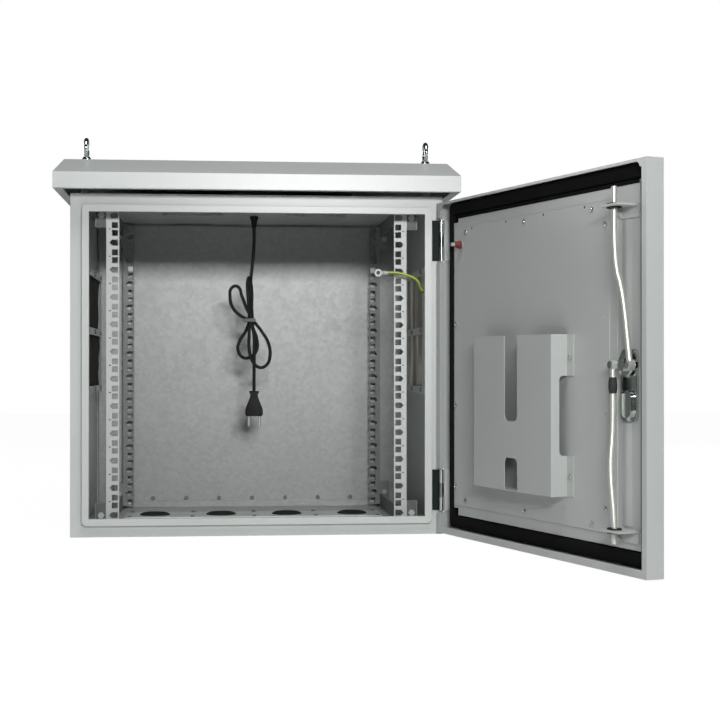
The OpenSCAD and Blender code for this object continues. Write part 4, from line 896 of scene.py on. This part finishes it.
class CABINET_OT_plate_plugs(bpy.types.Operator):
    """Black discs in the spare holes of the door's inner plate, standing in for the shade inside them (painted
    shade)
    """
    bl_idname = "cabinet.plate_plugs"
    bl_label = "Plate plugs"

    # Row along the top of the plate, then the pair along its free side
    ROW, ROW_START, ROW_MARGINS, ROW_DOWN = 4, 58 * MM, 120 * MM, 4 * MM
    PAIR_IN, PAIR_HALF = 9 * MM, 65 * MM
    # Radius and height, in millimetres
    OUTLINE = ((0.1, 0.1), (1.9, 0.1), (1.9, 1.2), (1.2, 1.45), (0.1, 1.5))

    def execute(self, context):
        low, high = door_extent("inner_plate")
        pitch = (high.x - low.x - self.ROW_MARGINS) / (self.ROW - 1)
        shell_low, shell_high = door_extent("door_shell")
        middle = (shell_low.z + shell_high.z) / 2
        spots = [(high.x - self.ROW_START - i * pitch, high.z - self.ROW_DOWN) for i in range(self.ROW)]
        spots += [(low.x + self.PAIR_IN, middle + offset) for offset in (-self.PAIR_HALF, self.PAIR_HALF)]
        bm = bmesh.new()
        for x, z in spots:
            add_turned(bm, in_metres(self.OUTLINE), pointing((x, low.y, z), (0, 1, 0)))
        bm.transform(DOOR)
        # painted shade: black discs darken the spare holes
        piece("hole_plugs", bm, "door", "black_plastic")
        return {"FINISHED"}


class CABINET_OT_tray_folds(bpy.types.Operator):
    """Pressed step and soft bead along the free side of the door's tray"""
    bl_idname = "cabinet.tray_folds"
    bl_label = "Tray folds"

    STEP_WIDTH, STEP_HEIGHT = 18.5 * MM, 0.9 * MM
    # Middle of the bead from the inner plate's edge, its half width, its height and its faces
    BEAD_PLACE, BEAD_HALF, BEAD_HEIGHT, BEAD_FACES = 40 * MM, 12 * MM, 1.4 * MM, 20
    # Depth let into the tray, and where the bead ends under the rod guides and beside the lock case
    ROOT, UNDER_GUIDE, CLEAR_OF_CASE = 0.3 * MM, 8 * MM, 2 * MM

    def execute(self, context):
        low, high = door_extent("inner_plate")
        case_low, case_high = door_extent("lock_case")
        guide_low, guide_high = door_extent("rod_bushes")
        foot, crest = low.y - self.ROOT, low.y + self.STEP_HEIGHT
        outer = low.x - self.STEP_WIDTH
        step = [(low.x, foot), (low.x, crest), (outer + self.STEP_HEIGHT, crest), (outer, low.y),
                (outer, foot)]
        bead = []
        for i in range(self.BEAD_FACES + 1):
            across = 2 * i / self.BEAD_FACES - 1
            bead.append((low.x - self.BEAD_PLACE - across * self.BEAD_HALF,
                         low.y + self.BEAD_HEIGHT * (0.5 + 0.5 * math.cos(math.pi * across))))
        bead += [(bead[-1][0], foot), (bead[0][0], foot)]
        bm = bmesh.new()
        for outline, foot_z, top_z in (
                (step, low.z, high.z),
                (bead, guide_low.z + self.UNDER_GUIDE, case_low.z - self.CLEAR_OF_CASE),
                (bead, case_high.z + self.CLEAR_OF_CASE, guide_high.z - self.UNDER_GUIDE)):
            face = bm.faces.new([bm.verts.new((x, y, foot_z)) for x, y in outline])
            extrude(bm, [face], (0, 0, top_z - foot_z))
        bm.transform(DOOR)
        piece("tray_folds", bm, "door", "door_coat")
        return {"FINISHED"}


# CAD nodes whose finish is set apart from that of their record slot
SET_APART = {
    "liner_sheet": ("back_liner",),
    "floor_sheet": ("gland_plate",),
    "rail_zinc": ("rail_front_left", "rail_front_right"),
    "dull_zinc": ("rail_supports", "rail_rear_left", "rail_rear_right"),
    "white_zinc": ("cage_nuts",),
    "door_leaf": ("hinge_door_leaves",),
    "body_leaf": ("hinge_body_leaves",),
    "bright_chrome": ("eyebolt_front_left", "eyebolt_front_right", "eyebolt_rear_left", "eyebolt_rear_right"),
}
OWN_FINISH = {node: name for name, nodes in SET_APART.items() for node in nodes}


class CABINET_OT_finishes(bpy.types.Operator):
    """Procedural finishes of every CAD node"""
    bl_idname = "cabinet.finishes"
    bl_label = "Finishes"

    def execute(self, context):
        for name, node in NODES.items():
            node.data.materials.clear()
            node.data.materials.append(FINISHES[OWN_FINISH.get(name, SLOTS[name])])
        return {"FINISHED"}


# Stage: places and sizes of the lamps in metres, all aimed at one point
LAMP_AIM = (0.05, -0.2, 0.3)
KEY_LAMP = ((0.22, -2.66, 0.83), 0.55, 0.2)
SIDE_LAMP = ((1.4, -1.6, 0.66), 0.3, 0.3)
TOP_LAMP = ((0.1, -1.1, 2.0), 1.0, 1.0)
REAR_LAMPS = (((-2.2, 1.6, 0.9), 1.0, 1.0), ((2.2, 1.6, 0.9), 1.0, 1.0))
SENSOR_WIDTH, CLIP_END = 36, 50
FLOOR_HALF, FLOOR_DROP = 6, 0.5 * MM
# Brightness of the floor to the camera, and the share of it that hides its shading
FLOOR_GLOW, FLOOR_GLOW_SHARE = 1.03, 0.95


def area_lamp(name, row, power):
    place, width, height = row
    lamp = bpy.data.lights.new(name, "AREA")
    lamp.shape = "RECTANGLE"
    lamp.size = width
    lamp.size_y = height
    lamp.energy = power
    made = bpy.data.objects.new(name, lamp)
    made.matrix_world = pointing(place, Vector(place) - Vector(LAMP_AIM))
    bpy.context.scene.collection.objects.link(made)


def white_surroundings(ambient, mirrored):
    """White for the camera and glass, dimmer in mirrors, and a low level for the light itself."""
    world = bpy.data.worlds.new("surroundings")
    world.use_nodes = True
    tree = world.node_tree
    tree.nodes.clear()
    path = tree.nodes.new("ShaderNodeLightPath")
    level = ambient
    for ray, brightness in (("Is Glossy Ray", mirrored), ("Is Transmission Ray", 1), ("Is Camera Ray", 1)):
        choice = tree.nodes.new("ShaderNodeMix")
        tree.links.new(path.outputs[ray], choice.inputs["Factor"])
        if isinstance(level, float):
            choice.inputs["A"].default_value = level
        else:
            tree.links.new(level, choice.inputs["A"])
        choice.inputs["B"].default_value = brightness
        level = choice.outputs["Result"]
    white = tree.nodes.new("ShaderNodeBackground")
    white.inputs["Color"].default_value = (1, 1, 1, 1)
    tree.links.new(level, white.inputs["Strength"])
    output = tree.nodes.new("ShaderNodeOutputWorld")
    tree.links.new(white.outputs["Background"], output.inputs["Surface"])
    bpy.context.scene.world = world


class CABINET_OT_stage(bpy.types.Operator):
    """Camera, lamps, white surroundings and a pale floor"""
    bl_idname = "cabinet.stage"
    bl_label = "Stage"

    def execute(self, context):
        stage = context.scene.cabinet_stage
        eye = bpy.data.cameras.new("camera")
        eye.sensor_width = SENSOR_WIDTH
        eye.lens = stage.lens
        eye.clip_end = CLIP_END
        camera = bpy.data.objects.new("camera", eye)
        camera.location = stage.eye
        camera.rotation_euler = (math.pi / 2 + stage.tilt, 0, -stage.pan)
        context.scene.collection.objects.link(camera)
        context.scene.camera = camera

        area_lamp("key", KEY_LAMP, stage.key)
        area_lamp("side", SIDE_LAMP, stage.side)
        area_lamp("over", TOP_LAMP, stage.over)
        for row in REAR_LAMPS:
            area_lamp("rear", row, stage.fill)
        white_surroundings(stage.ambient, stage.mirrored)
        self.add_floor(context)
        context.scene.view_settings.view_transform = "Standard"
        return {"FINISHED"}

    def add_floor(self, context):
        """A floor that is white to the camera apart from a soft shadow."""
        bm = bmesh.new()
        bmesh.ops.create_grid(bm, x_segments=1, y_segments=1, size=FLOOR_HALF)
        bmesh.ops.translate(bm, vec=(0, 0, CAD_BOX[0][2] - FLOOR_DROP), verts=bm.verts)
        mesh = bpy.data.meshes.new("floor")
        bm.to_mesh(mesh)
        bm.free()
        ground = bpy.data.objects.new("floor", mesh)
        f = Finish("floor")
        f.put(Base_Color=(0.9, 0.9, 0.9), Roughness=0.9)
        glow = f.node("ShaderNodeEmission", {}, {"Color": (1, 1, 1), "Strength": FLOOR_GLOW})
        shown = FLOOR_GLOW_SHARE * f.node("ShaderNodeLightPath", output="Is Camera Ray")
        plain = Wire(f, f.shader.outputs["BSDF"])
        mixed = f.node("ShaderNodeMixShader", {}, {0: shown, 1: plain, 2: glow})
        output = next(n for n in f.tree.nodes if n.type == "OUTPUT_MATERIAL")
        f.join(output.inputs["Surface"], mixed)
        mesh.materials.append(f.material)
        context.scene.collection.objects.link(ground)


class CABINET_PT_build(bpy.types.Panel):
    """Sizes, colours and steps of the cabinet"""
    bl_label = "Rack cabinet"
    bl_idname = "CABINET_PT_build"
    bl_space_type = "VIEW_3D"
    bl_region_type = "UI"
    bl_category = "Cabinet"

    def draw(self, context):
        for name, group in GROUPS.items():
            box = self.layout.box()
            for setting in group.__annotations__:
                box.prop(getattr(context.scene, name), setting)
        for step in STEPS:
            self.layout.operator(step.bl_idname)


GROUPS = {"cabinet_leads": LeadSizes, "cabinet_colours": CabinetColours, "cabinet_stage": StageSettings}
STEPS = (CABINET_OT_stage, CABINET_OT_power_lead, CABINET_OT_earth_wire, CABINET_OT_filter_mats,
         CABINET_OT_gasket, CABINET_OT_screws, CABINET_OT_rod_sleeve, CABINET_OT_plate_plugs,
         CABINET_OT_tray_folds, CABINET_OT_finishes)


def register():
    for name, group in GROUPS.items():
        bpy.utils.register_class(group)
        setattr(bpy.types.Scene, name, PointerProperty(type=group))
    for step in STEPS:
        bpy.utils.register_class(step)
    bpy.utils.register_class(CABINET_PT_build)


def unregister():
    bpy.utils.unregister_class(CABINET_PT_build)
    for step in reversed(STEPS):
        bpy.utils.unregister_class(step)
    for name, group in GROUPS.items():
        delattr(bpy.types.Scene, name)
        bpy.utils.unregister_class(group)


def main():
    register()
    make_finishes(bpy.context.scene.cabinet_colours)
    bpy.ops.cabinet.stage()
    bpy.ops.cabinet.power_lead()
    bpy.ops.cabinet.earth_wire()
    bpy.ops.cabinet.filter_mats()
    bpy.ops.cabinet.gasket()
    bpy.ops.cabinet.screws()
    bpy.ops.cabinet.rod_sleeve()
    bpy.ops.cabinet.plate_plugs()
    bpy.ops.cabinet.tray_folds()
    bpy.ops.cabinet.finishes()


if __name__ == "__main__":
    main()
